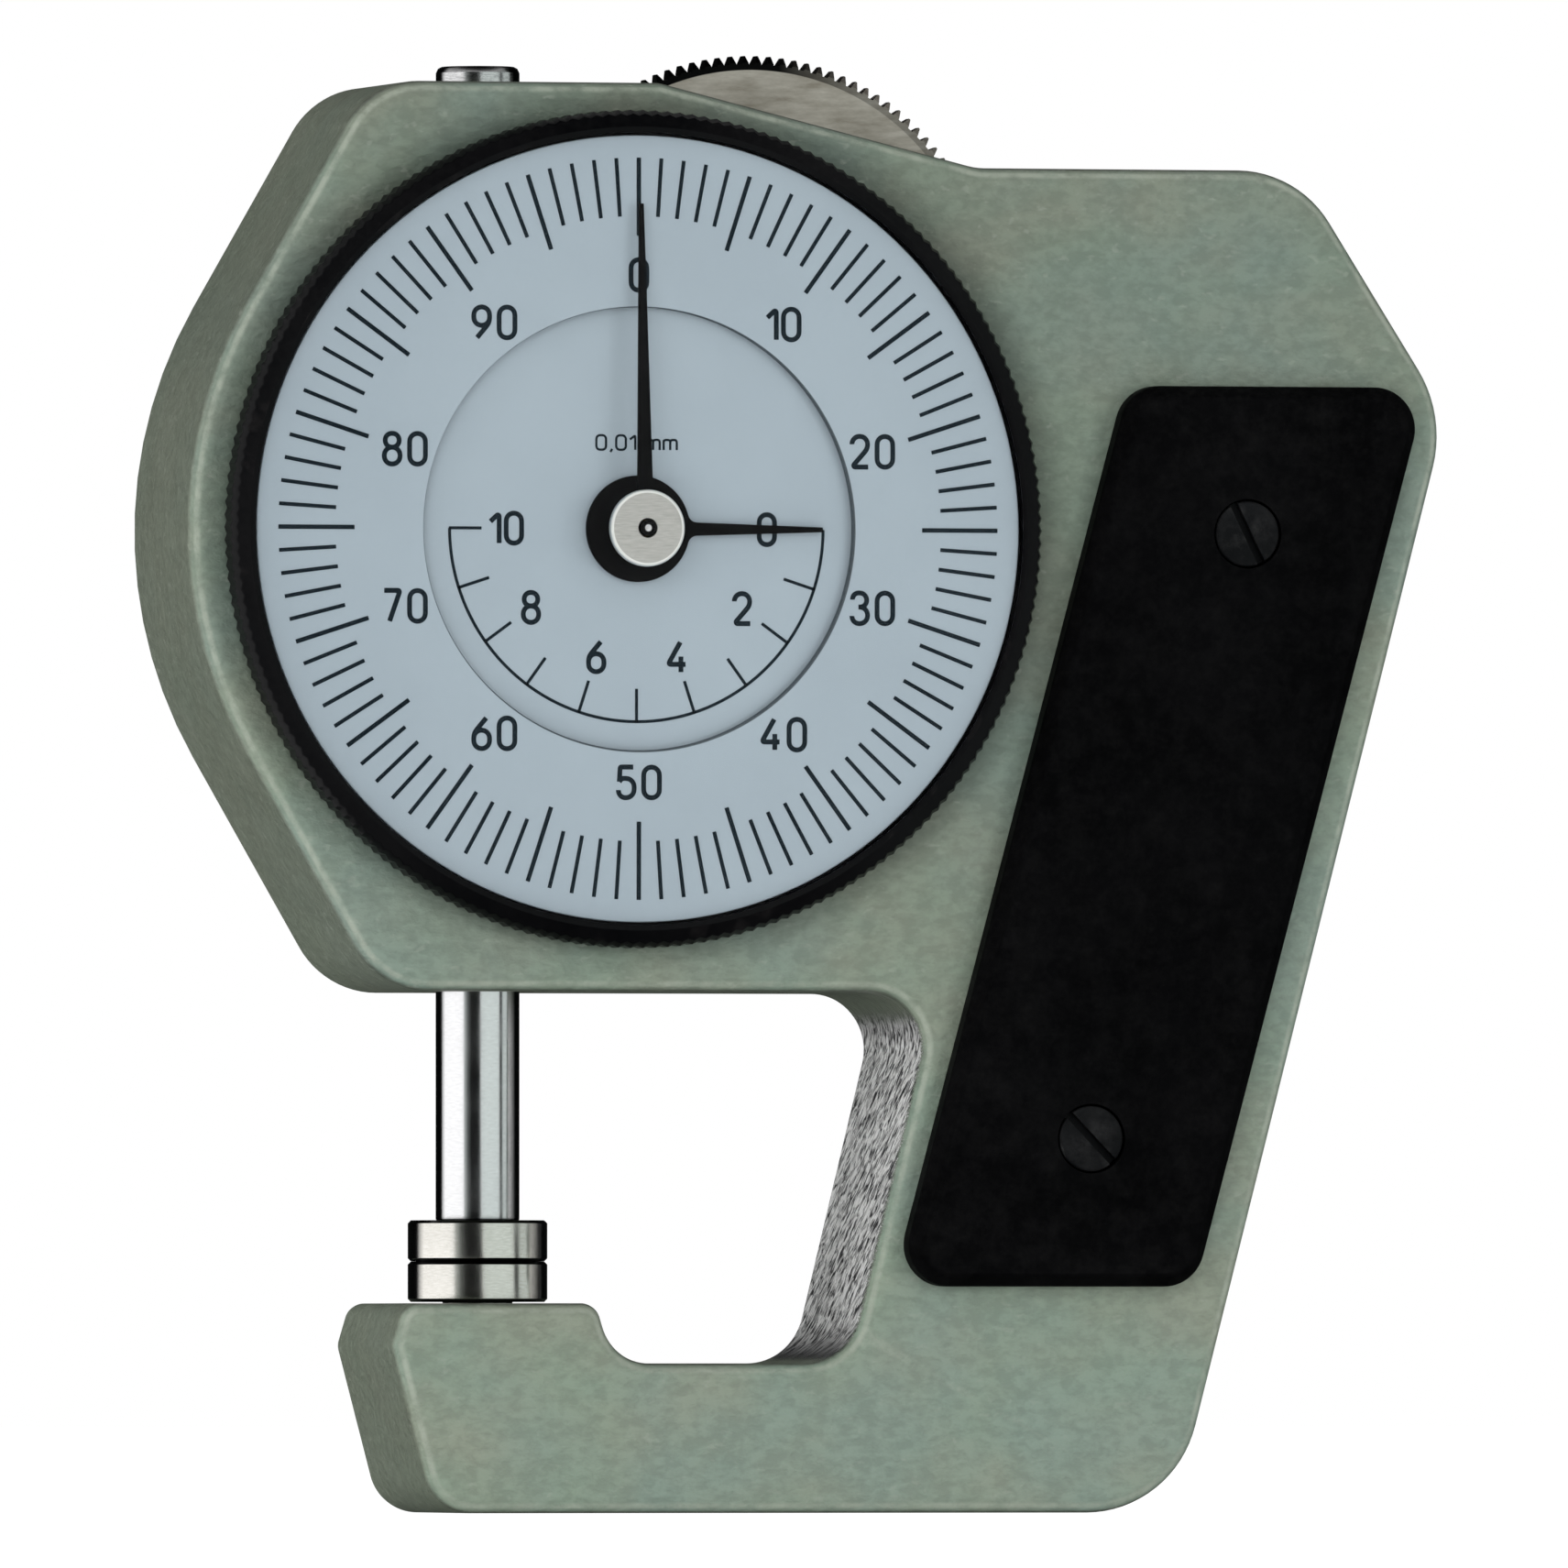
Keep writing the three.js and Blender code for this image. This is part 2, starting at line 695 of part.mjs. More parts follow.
// Outline of a gear with a tooth centred on the given angle and flanks that follow an involute
function gearPoints(teeth, module, phase, shares = [1]) {
  const pitchRadius = (teeth * module) / 2;
  const baseRadius = pitchRadius * Math.cos(pressureAngle);
  const rootRadius = pitchRadius - dedendumShare * module;
  const tipRadius = pitchRadius + addendumShare * module;
  const involute = (angle) => Math.tan(angle) - angle;
  const halfTooth = (radius) => {
    const angle = Math.acos(Math.min(1, baseRadius / radius));
    return (toothThicknessShare * Math.PI) / teeth + involute(pressureAngle) - involute(angle);
  };
  const radii = [rootRadius, ...shares.map((share) => rootRadius + share * (tipRadius - rootRadius))];
  const flank = radii.map((radius) => [radius, halfTooth(radius)]);
  const tooth = [...flank.map(([radius, half]) => [radius, -half]), ...flank.reverse()];
  return Array.from({ length: teeth }, (_, k) => phase + (2 * Math.PI * k) / teeth).flatMap((middle) =>
    tooth.map(([radius, offset]) => {
      const angle = middle + offset;
      return new THREE.Vector2(radius * Math.cos(angle), radius * Math.sin(angle));
    }),
  );
}

// The block that cuts a rack into the spindle's +X side: a flat with a groove centred on each height
function rackCutter(module, line, from, to, groove) {
  const pitch = Math.PI * module;
  const top = line + addendumShare * module;
  const bottom = line - dedendumShare * module;
  const halfAt = (x) => ((1 - toothThicknessShare) * pitch) / 2 + (x - line) * Math.tan(pressureAngle);
  const first = Math.ceil((from - groove) / pitch);
  const last = Math.floor((to - groove) / pitch);
  const points = [new THREE.Vector2(top, groove + (first - 1 / 2) * pitch)];
  for (let k = first; k <= last; k += 1) {
    const middle = groove + k * pitch;
    points.push(new THREE.Vector2(top, middle - halfAt(top)), new THREE.Vector2(bottom, middle - halfAt(bottom)));
    points.push(new THREE.Vector2(bottom, middle + halfAt(bottom)), new THREE.Vector2(top, middle + halfAt(top)));
  }
  points.push(new THREE.Vector2(top, groove + (last + 1 / 2) * pitch));
  const outside = spindleRadius + overrun;
  points.push(new THREE.Vector2(outside, points.at(-1).y), new THREE.Vector2(outside, points[0].y));
  return slab(new THREE.Shape(points.reverse()), -outside, outside);
}

// Height over which a round wheel beside the spindle reaches into its bar
function reachBeside(tipRadius, centreDistance) {
  return Math.sqrt(tipRadius ** 2 - (centreDistance - spindleRadius) ** 2) + runningGap;
}

function spindleBody() {
  const bar = turnedUpright([
    [0, spindleFoot + studLength + seatGap],
    [studRadius + seatGap, spindleFoot + studLength + seatGap],
    [studRadius + seatGap, spindleFoot],
    [spindleRadius, spindleFoot],
    [spindleRadius, spindleTop],
    [studRadius + seatGap, spindleTop],
    [studRadius + seatGap, spindleTop - studLength - seatGap],
    [0, spindleTop - studLength - seatGap],
  ]);
  const thumbReach = reachBeside(thumbPitchRadius + thumbModule, thumbX - spindleX);
  const thumbRack = rackCutter(
    thumbModule,
    thumbRackLine,
    thumbHeight - travel - thumbReach,
    thumbHeight + thumbReach,
    thumbHeight,
  );
  const pinionReach = reachBeside(rackPinionRadius + rackModule, spindleX - firstArborX);
  const movementRack = rackCutter(
    rackModule,
    movementRackLine,
    dialHeight - travel - pinionReach,
    dialHeight + pinionReach,
    dialHeight,
  );
  const pinHole = roundBar(postRadius + seatGap, 0, 2 * spindleRadius).rotate([0, 0, -90]);
  return bar
    .subtract(thumbRack)
    .subtract(movementRack.mirror([1, 0, 0]))
    .subtract(pinHole.translate([springPinInset, 0, springPinHeight]));
}

// The spindle with its moving contact, cap and spring pin
function spindleGroup() {
  const group = new THREE.Group();
  group.position.x = spindleX;
  const contactFoot = gaugeHeight + closedGap;
  const contactTop = contactFoot + contactHeight;
  const upperContact = turnedUpright([
    [0, contactFoot],
    [contactRadius - contactChamfer, contactFoot],
    [contactRadius, contactFoot + contactChamfer],
    [contactRadius, contactTop - contactChamfer],
    [contactRadius - contactChamfer, contactTop],
    [studRadius, contactTop],
    [studRadius, spindleFoot + studLength],
    [0, spindleFoot + studLength],
  ]);
  const capTop = topHeight + capRise;
  const cap = turnedUpright([
    [0, spindleTop - studLength],
    [studRadius, spindleTop - studLength],
    [studRadius, spindleTop + seatGap],
    [spindleRadius, spindleTop + seatGap],
    [spindleRadius, capTop - capChamfer],
    [spindleRadius - capChamfer, capTop],
    [0, capTop],
  ]);
  const pinLength = spindleOffset - springPinTip - springPinInset - seatGap;
  const pin = roundBar(postRadius, 0, pinLength).rotate([0, 0, -90]);
  group.add(piece("spindle", spindleBody(), groundSteel));
  group.add(piece("upper_contact", upperContact, groundSteel));
  group.add(piece("spindle_cap", cap, groundSteel));
  group.add(piece("spring_pin", pin, springSteel, springPinInset + seatGap, springPinHeight));
  return group;
}

// The toothed wheel that the thumb rolls, with a thinner web and a hub that reaches from plate to plate
function thumbWheelBody() {
  const half = thumbThickness / 2;
  const webHalf = thumbWebThickness / 2;
  const rimInner = thumbPitchRadius - thumbRimWidth;
  const rim = slab(new THREE.Shape(gearPoints(thumbTeeth, thumbModule, Math.PI)), -half, half);
  const frontRecess = roundBar(rimInner, -half - overrun, -webHalf);
  const rearRecess = roundBar(rimInner, webHalf, half + overrun);
  const hubFront = frontPlateBack + runningGap;
  const hubBack = rearPlateFront - runningGap;
  const hub = roundBar(thumbHubRadius, hubFront, hubBack);
  const bore = roundBar(axleRadius + runningGap, hubFront - overrun, hubBack + overrun);
  return rim.subtract(frontRecess).subtract(rearRecess).add(hub).subtract(bore);
}

// A wheel or pinion with a round bore
function gearBody(teeth, module, phase, boreRadius, front, back, shares) {
  const shape = plate(gearPoints(teeth, module, phase, shares), [[0, 0, boreRadius]]);
  return slab(shape, front, back);
}

// An arbor with a pinion cut on it
function pinionArbor(teeth, module, phase, pinionFront, pinionBack, radius, front, back) {
  const leaves = slab(new THREE.Shape(gearPoints(teeth, module, phase, flankShares)), pinionFront, pinionBack);
  return leaves.add(roundBar(radius, front, back));
}

// The two plates, their pillars and screws, and the axle of the thumb wheel
function movementFrame() {
  const group = new THREE.Group();
  const hole = (x, z, radius) => [x, z - dialHeight, radius];
  const arborHoles = [
    hole(firstArborX, dialHeight, arborRadius + runningGap),
    hole(hairX, hairZ, arborRadius + runningGap),
    hole(0, dialHeight, centreArborRadius + runningGap),
    hole(thumbX, thumbHeight, axleRadius + runningGap),
  ];
  const lugPlaces = roundPlaces(lugCircle, lugAngles);
  const pillarPlaces = roundPlaces(pillarCircle, pillarAngles);
  const frontHoles = [
    ...arborHoles,
    ...lugPlaces.map(([x, z]) => [x, z, smallScrewRadius + runningGap]),
    ...pillarPlaces.map(([x, z]) => [x, z, pillarSpigotRadius + runningGap]),
    hole(postX, postHeight, postRadius + runningGap),
  ];
  const studZ = hairZ - hairspringOuter - studPinRadius - 2 * seatGap;
  const rearHoles = [
    ...arborHoles,
    ...pillarPlaces.map(([x, z]) => [x, z, smallScrewRadius + runningGap]),
    hole(hairX, studZ, studPinRadius + runningGap),
  ];
  const frontPlate = plate(circlePoints(0, 0, plateSeatRadius - runningGap - facetError), frontHoles);
  const rearPlate = plate(circlePoints(0, 0, rearPlateRadius), rearHoles);
  group.add(piece("front_plate", slab(frontPlate, frontPlateFront, frontPlateBack), brass, 0, dialHeight));
  group.add(piece("rear_plate", slab(rearPlate, rearPlateFront, rearPlateBack), brass, 0, dialHeight));

  const pillarFront = frontPlateBack + seatGap;
  const pillarBack = rearPlateFront - seatGap;
  const pillar = turned([
    [0, frontPlateFront],
    [pillarSpigotRadius, frontPlateFront],
    [pillarSpigotRadius, pillarFront],
    [pillarRadius, pillarFront],
    [pillarRadius, pillarBack],
    [smallScrewRadius + seatGap, pillarBack],
    [smallScrewRadius + seatGap, pillarBack - smallScrewLength],
    [0, pillarBack - smallScrewLength],
  ]);
  const screw = slottedScrew(
    smallScrewHead,
    smallScrewHeadHeight,
    smallScrewRadius,
    smallScrewLength,
    smallScrewSlot,
  );
  pillarPlaces.forEach(([x, z], i) => {
    group.add(piece(`plate_pillar_${i + 1}`, pillar, brass, x, dialHeight + z));
    const headTop = rearPlateBack + seatGap + smallScrewHeadHeight;
    const mesh = screwPiece(`pillar_screw_${i + 1}`, screw, springSteel, x, headTop, dialHeight + z);
    mesh.rotation.x = Math.PI;
    group.add(mesh);
  });
  lugPlaces.forEach(([x, z], i) => {
    const headTop = frontPlateFront - seatGap - smallScrewHeadHeight;
    group.add(screwPiece(`plate_screw_${i + 1}`, screw, springSteel, x, headTop, dialHeight + z));
  });
  group.add(piece("wheel_axle", roundBar(axleRadius, frontPlateFront, rearPlateBack), groundSteel, thumbX, thumbHeight));
  group.add(piece("spring_post", roundBar(postRadius, frontPlateFront, postEnd), springSteel, postX, postHeight));
  const stud = roundBar(studPinRadius, hairspringFront, rearPlateBack);
  group.add(piece("hairspring_stud", stud, springSteel, hairX, studZ));
  return group;
}

// The centre line of the return spring, a helix round the Z axis
class SpringLine extends THREE.Curve {
  constructor(foot, head) {
    super();
    this.foot = foot;
    this.head = head;
  }

  getPoint(share) {
    const angle = 2 * Math.PI * springTurns * share;
    const height = this.foot + (this.head - this.foot) * share;
    return new THREE.Vector3(springCoilRadius * Math.cos(angle), springCoilRadius * Math.sin(angle), height);
  }
}

function returnSpringBody() {
  const end = postRadius + springWire + seatGap;
  const line = new SpringLine(postHeight + end, springPinHeight - end);
  const section = new THREE.Shape(circlePoints(0, 0, springWire, springSides));
  const steps = springTurns * springSteps;
  const geometry = new THREE.ExtrudeGeometry(section, { extrudePath: line, steps, bevelEnabled: false });
  return solid(geometry);
}

// The flat spiral that takes up the play of the train
function hairspringBody() {
  const steps = hairspringTurns * hairspringSteps;
  const side = (offset) =>
    Array.from({ length: steps + 1 }, (_, k) => {
      const share = k / steps;
      const radius = hairspringInner + (hairspringOuter - hairspringInner) * share + offset;
      const angle = -Math.PI / 2 - 2 * Math.PI * hairspringTurns * (1 - share);
      return new THREE.Vector2(radius * Math.cos(angle), radius * Math.sin(angle));
    });
  const outline = [...side(hairspringThickness / 2), ...side(-hairspringThickness / 2).reverse()];
  return slab(new THREE.Shape(outline), hairspringFront, hairspringFront + hairspringHeight);
}

// The arbors and wheels from the rack to the centre, the hour work and the take-up wheel
function gearTrain() {
  const group = new THREE.Group();
  const arborBack = rearPlateBack;
  const halfTooth = (teeth) => Math.PI / teeth;
  const hourPinionFront = hourWheelFront - seatGap;
  const firstArbor = pinionArbor(
    rackPinionTeeth,
    rackModule,
    0,
    -rackPinionLength / 2,
    rackPinionLength / 2,
    arborRadius,
    hourPinionFront,
    arborBack,
  );
  const firstBore = arborRadius + seatGap;
  const firstWheelBack = firstWheelFront + trainThickness;
  const firstWheel = gearBody(firstWheelTeeth, trainModule, 0, firstBore, firstWheelFront, firstWheelBack);
  const hourPinion = gearBody(hourPinionTeeth, hourModule, 0, firstBore, hourWheelFront, hourWheelBack);
  group.add(piece("first_arbor", firstArbor, springSteel, firstArborX, dialHeight));
  group.add(piece("first_wheel", firstWheel, brass, firstArborX, dialHeight));
  group.add(piece("hour_pinion", hourPinion, brass, firstArborX, dialHeight));

  const centreArbor = pinionArbor(
    centrePinionTeeth,
    trainModule,
    halfTooth(centrePinionTeeth),
    firstWheelFront - seatGap,
    hairWheelFront + trainThickness + seatGap,
    centreArborRadius,
    bossFront - arborEndRise,
    arborBack,
  );
  group.add(piece("centre_arbor", centreArbor, springSteel, 0, dialHeight));

  const hourRim = gearPoints(hourWheelTeeth, hourModule, halfTooth(hourWheelTeeth));
  const hourWheel = slab(new THREE.Shape(hourRim), hourWheelFront, hourWheelBack)
    .add(roundBar(tubeRadius, smallPointerFront + seatGap, frontPlateFront - runningGap))
    .subtract(roundBar(tubeBoreRadius, smallPointerFront - overrun, frontPlateFront + overrun));
  group.add(piece("hour_wheel", hourWheel, brass, 0, dialHeight));

  const hairPhase = hairDirection + Math.PI + halfTooth(hairWheelTeeth);
  const hairWheelBack = hairWheelFront + trainThickness;
  const hairWheel = gearBody(hairWheelTeeth, trainModule, hairPhase, firstBore, hairWheelFront, hairWheelBack);
  const hairArbor = roundBar(arborRadius, frontPlateFront, arborBack);
  const colletBack = hairspringFront + hairspringHeight;
  const collet = roundRing(firstBore, colletRadius, hairWheelBack + seatGap, colletBack);
  group.add(piece("hairspring_arbor", hairArbor, springSteel, hairX, hairZ));
  group.add(piece("hairspring_wheel", hairWheel, brass, hairX, hairZ));
  group.add(piece("hairspring_collet", collet, brass, hairX, hairZ));
  group.add(piece("hairspring", hairspringBody(), springSteel, hairX, hairZ));
  group.add(piece("return_spring", returnSpringBody(), springSteel, postX, 0));
  return group;
}

// The small pointer: a hub with a tapering blade that runs into it by a fillet on each side
function smallPointerPoints() {
  const half = smallPointerRoot / 2;
  const tipHalf = pointerTipWidth / 2;
  const across = half + smallPointerFillet;
  const along = Math.sqrt((smallPointerHub + smallPointerFillet) ** 2 - across ** 2);
  const hubAngle = Math.atan2(across, along);
  const hubSteps = arcSteps(smallPointerHub, 2 * (Math.PI - hubAngle));
  const filletSteps = arcSteps(smallPointerFillet, Math.PI / 2 - hubAngle);
  const fillet = (side) =>
    Array.from({ length: filletSteps + 1 }, (_, k) => {
      const angle = -Math.PI / 2 - ((Math.PI / 2 - hubAngle) * k) / filletSteps;
      const x = along + smallPointerFillet * Math.cos(angle);
      return new THREE.Vector2(x, side * (across + smallPointerFillet * Math.sin(angle)));
    });
  const hub = Array.from({ length: hubSteps - 1 }, (_, k) => {
    const angle = hubAngle + (2 * (Math.PI - hubAngle) * (k + 1)) / hubSteps;
    return new THREE.Vector2(smallPointerHub * Math.cos(angle), smallPointerHub * Math.sin(angle));
  });
  const tip = [-1, 1].map((side) => new THREE.Vector2(smallPointerLength, side * tipHalf));
  return [...tip, ...fillet(1), ...hub, ...fillet(-1).reverse()];
}

// The main pointer points up at zero and its blade slopes down towards the dial
function mainPointerBody() {
  const bore = bossBarrelRadius + seatGap;
  const hub = roundRing(bore, mainPointerHub, mainPointerFront, mainPointerFront + mainPointerThickness);
  const bladeFoot = (mainPointerHub + bore) / 2;
  const tilt = Math.atan2(mainPointerDrop, mainPointerLength - bladeFoot);
  const rootHalf = mainPointerRoot / 2;
  const tipHalf = pointerTipWidth / 2;
  const outline = [
    [-rootHalf, 0],
    [rootHalf, 0],
    [tipHalf, mainPointerLength - bladeFoot],
    [-tipHalf, mainPointerLength - bladeFoot],
  ].map(([x, z]) => new THREE.Vector2(x, z));
  const blade = slab(new THREE.Shape(outline), 0, mainPointerThickness)
    .rotate([THREE.MathUtils.radToDeg(-tilt), 0, 0])
    .translate([0, mainPointerFront, bladeFoot]);
  return hub.add(blade);
}

// The fixed inner dial, a shallow cup that stands on the front plate
function innerDialBody() {
  const back = innerDialFront + innerDialThickness;
  const foot = frontPlateFront - seatGap;
  return turned([
    [innerDialBore, innerDialFront],
    [innerDialRadius, innerDialFront],
    [innerDialRadius, foot],
    [innerDialRadius - innerDialSkirt, foot],
    [innerDialRadius - innerDialSkirt, back],
    [innerDialBore, back],
  ]);
}

function pointers() {
  const group = new THREE.Group();
  group.position.z = dialHeight;
  const smallShape = plate(smallPointerPoints(), [[0, 0, tubeRadius + seatGap]]);
  const smallBack = smallPointerFront + smallPointerThickness;
  const boss = turned([
    [centreArborRadius + seatGap, bossFront],
    [bossRadius, bossFront],
    [bossRadius, bossFront + bossFlange],
    [bossBarrelRadius, bossFront + bossFlange],
    [bossBarrelRadius, bossFront + bossLength],
    [centreArborRadius + seatGap, bossFront + bossLength],
  ]);
  group.add(piece("inner_dial", innerDialBody(), dialPaint));
  group.add(piece("small_pointer", slab(smallShape, smallPointerFront, smallBack), pointerBlack));
  group.add(piece("main_pointer", mainPointerBody(), pointerBlack));
  group.add(piece("pointer_boss", boss, groundSteel));
  return group;
}

// Points of a spherical cap's meridian, from the axis to its rim
function domeProfile(rimRadius, rimY, apexY, steps) {
  const rise = rimY - apexY;
  const sphere = (rimRadius ** 2 + rise ** 2) / (2 * rise);
  const whole = Math.asin(rimRadius / sphere);
  return Array.from({ length: steps + 1 }, (_, k) => {
    const angle = (whole * k) / steps;
    return [k === 0 ? 0 : sphere * Math.sin(angle), apexY + sphere * (1 - Math.cos(angle))];
  });
}

// The domed crystal, whose foot presses the outer dial's rim on to its shelf
function crystalBody() {
  const outer = bezelOpening - runningGap;
  const inner = outer - crystalThickness;
  const rimY = frontFace - bezelRise;
  const foot = outerDialFront - seatGap;
  return turned([
    ...domeProfile(outer, rimY, frontFace - crystalRise, crystalSteps),
    [outer, foot],
    [inner, foot],
    ...domeProfile(inner, rimY, frontFace - crystalRise + crystalThickness, crystalSteps).reverse(),
  ]);
}

// The bezel: a turned ring joined with a knurled band
function bezelBody() {
  const back = frontFace - bezelLift;
  const front = frontFace - bezelRise;
  const shelf = outerDialFront + outerDialThickness + seatGap;
  const bandRadius = bezelRadius - knurlDepth;
  const ring = turned([
    [bezelBore, back],
    [bandRadius - knurlDepth, back],
    [bandRadius, back - knurlMargin],
    [bandRadius, front + bezelChamfer],
    [bezelOpening + bezelLipWidth, front],
    [bezelOpening, front],
    [bezelOpening, shelf],
    [bezelBore, shelf],
  ]);
  const teeth = Array.from({ length: 2 * knurlCount }, (_, k) => {
    const radius = k % 2 ? bandRadius : bezelRadius;
    const angle = (Math.PI * k) / knurlCount;
    return new THREE.Vector2(radius * Math.cos(angle), radius * Math.sin(angle));
  });
  const bandShape = plate(teeth, [[0, 0, bezelOpening + knurlDepth]]);
  const band = slab(bandShape, front + bezelChamfer + knurlMargin, back - knurlMargin);
  const grooveBack = frontFace - snapRise;
  const grooveFront = grooveBack - snapWidth - 2 * seatGap;
  const groove = roundRing(bezelBore - overrun, bezelBore + snapGroove, grooveFront, grooveBack);
  return ring.add(band).subtract(groove);
}

// The open wire that holds the bezel on the frame's neck
function snapRingBody() {
  const inner = neckRadius - snapGroove + seatGap;
  const outer = bezelBore + snapGroove - seatGap - facetError;
  const sweep = 2 * Math.PI - snapOpening;
  const steps = arcSteps(outer, sweep);
  const arc = (radius) =>
    Array.from({ length: steps + 1 }, (_, k) => {
      const angle = -Math.PI / 2 + snapOpening / 2 + (sweep * k) / steps;
      return new THREE.Vector2(radius * Math.cos(angle), radius * Math.sin(angle));
    });
  const back = frontFace - snapRise - seatGap;
  return slab(new THREE.Shape([...arc(outer), ...arc(inner).reverse()]), back - snapWidth, back);
}

function bezelGroup() {
  const group = new THREE.Group();
  group.position.z = dialHeight;
  const dialBack = outerDialFront + outerDialThickness;
  group.add(piece("bezel", bezelBody(), blackMetal));
  group.add(piece("outer_dial", roundRing(outerDialBore, outerDialRadius, outerDialFront, dialBack), dialPaint));
  group.add(piece("crystal", crystalBody(), clearCrystal));
  group.add(piece("snap_ring", snapRingBody(), springSteel));
  return group;
}

const gauge = new THREE.Group();
gauge.name = "thickness_gauge";
gauge.add(
  casing(),
  anvilAndGuides(),
  spindleGroup(),
  movementFrame(),
  gearTrain(),
  pointers(),
  bezelGroup(),
);
gauge.add(piece("thumb_wheel", thumbWheelBody(), groundSteel, thumbX, thumbHeight));

export default gauge;
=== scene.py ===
"""Looks of a dial thickness gauge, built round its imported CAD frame.

Sizes are in millimetres and in the CAD frame: X to the right along the throat, Y from the dial to the back, Z up.
"""

import logging
import math
from collections.abc import Callable
from dataclasses import dataclass
from enum import Enum
from functools import cached_property, reduce

import bmesh
import bpy
from mathutils import Matrix, Vector


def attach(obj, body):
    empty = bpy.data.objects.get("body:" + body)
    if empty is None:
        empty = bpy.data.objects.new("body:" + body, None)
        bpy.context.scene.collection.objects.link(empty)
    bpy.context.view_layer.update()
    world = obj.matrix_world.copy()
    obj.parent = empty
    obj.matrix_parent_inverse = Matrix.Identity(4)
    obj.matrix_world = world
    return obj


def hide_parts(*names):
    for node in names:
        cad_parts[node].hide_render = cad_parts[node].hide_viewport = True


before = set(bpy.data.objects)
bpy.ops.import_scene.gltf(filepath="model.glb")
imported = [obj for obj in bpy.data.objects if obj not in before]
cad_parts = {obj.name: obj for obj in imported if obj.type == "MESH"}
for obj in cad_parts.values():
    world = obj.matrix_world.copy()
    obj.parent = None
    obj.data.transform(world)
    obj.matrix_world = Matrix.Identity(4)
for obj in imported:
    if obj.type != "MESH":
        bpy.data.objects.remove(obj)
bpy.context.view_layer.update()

# A millimetre in metres, and the millimetres within which points are merged or a depth counts as met
MM = 0.001
MERGE = 0.001
NEAR = 0.01
DIAL_CENTRE = (0.0, 0.0, 70.3)
SPINDLE_FOOT = (-8.9, 0.0, 0.0)
WHEEL_CENTRE = (11.2, 0.0, 86.6)
LOG = logging.getLogger("thickness_gauge")
Tree = bpy.types.NodeTree
Socket = bpy.types.NodeSocket
Piece = bpy.types.Object
Material = bpy.types.Material
Colour = tuple[float, float, float]
Point = tuple[float, float, float]
Value = Socket | float
# The gauge's own finishes by name, kept here as they are built
FINISHES: dict[str, Material] = {}


class Plane(Enum):
    """A plane to draw in: its two directions, and the axis whose spin turns the first into the second."""

    FRONT = ((1, 0, 0), (0, 0, 1), (0, 1, 0))
    SECTION = ((1, 0, 0), (0, 1, 0), (0, 0, -1))


class Axis(Enum):
    """The direction of a round piece's middle line."""

    DIAL = (0, 1, 0)
    SPINDLE = (0, 0, 1)


class Join(Enum):
    """What a helper solid does to a piece."""

    CUT = "DIFFERENCE"
    ADD = "UNION"


class Side(Enum):
    """Which face of the gauge a piece stands on."""

    FRONT = -1
    REAR = 1


class Select(Enum):
    """What is selected in a piece."""

    POINTS = "VERT"
    EDGES = "EDGE"


def clear() -> None:
    """Leaves edit mode and selects nothing."""
    if bpy.context.object and bpy.context.object.mode != "OBJECT":
        bpy.ops.object.mode_set(mode="OBJECT")
    bpy.ops.object.select_all(action="DESELECT")


def pick(piece: Piece, *others: Piece) -> None:
    """Selects a piece and makes it active, with any others selected beside it.

    Args:
        piece: the piece to work on.
        others: more pieces to select.
    """
    clear()
    for chosen in (piece, *others):
        chosen.select_set(True)
    bpy.context.view_layer.objects.active = piece


def join(pieces: list[Piece]) -> None:
    """Joins pieces into the first of them.

    Args:
        pieces: the pieces.
    """
    pick(*pieces)
    if len(pieces) > 1:
        bpy.ops.object.join()


def edit(piece: Piece, kind: Select = Select.POINTS, action: str = "SELECT") -> None:
    """Opens a piece in edit mode.

    Args:
        piece: the piece to open.
        kind: what is selected in it.
        action: SELECT to start with all of it selected, DESELECT with nothing.
    """
    pick(piece)
    bpy.ops.object.mode_set(mode="EDIT")
    bpy.ops.mesh.select_mode(type=kind.value)
    bpy.ops.mesh.select_all(action=action)


def choose(piece: Piece, kind: Select, test: Callable[..., bool]) -> None:
    """Opens a piece and selects the points or edges that pass a test.

    Args:
        piece: the piece to open.
        kind: what is selected.
        test: says whether one is chosen, from the place of the point or of the edge's two ends in millimetres.
    """
    edit(piece, kind, "DESELECT")
    mesh = bmesh.from_edit_mesh(piece.data)
    if kind is Select.EDGES:
        for edge in mesh.edges:
            edge.select_set(test(*(vertex.co / MM for vertex in edge.verts)))
    else:
        for vertex in mesh.verts:
            vertex.select_set(test(vertex.co / MM))
        mesh.select_flush(True)
    bmesh.update_edit_mesh(piece.data)


def extrude(reach: Vector | Point) -> None:
    """Extrudes what is selected by a reach in metres."""
    bpy.ops.mesh.extrude_region_move(TRANSFORM_OT_translate={"value": reach})


def spin_copies(centre: Point, count: int, angle: float) -> None:
    """Repeats the open piece's whole mesh round a line along Y.

    Args:
        centre: a point of the line.
        count: the number of copies.
        angle: the angle from the mesh to the last copy, in radians.
    """
    bpy.ops.mesh.select_all(action="SELECT")
    bpy.ops.mesh.spin(steps=count, dupli=True, angle=angle, center=Vector(centre) * MM, axis=Axis.DIAL.value)


def close_up() -> None:
    """Merges doubles in the open piece, turns its faces outwards and leaves edit mode."""
    bpy.ops.mesh.select_mode(type="VERT")
    bpy.ops.mesh.select_all(action="SELECT")
    bpy.ops.mesh.remove_doubles(threshold=MERGE * MM)
    bpy.ops.mesh.normals_make_consistent(inside=False)
    bpy.ops.object.mode_set(mode="OBJECT")


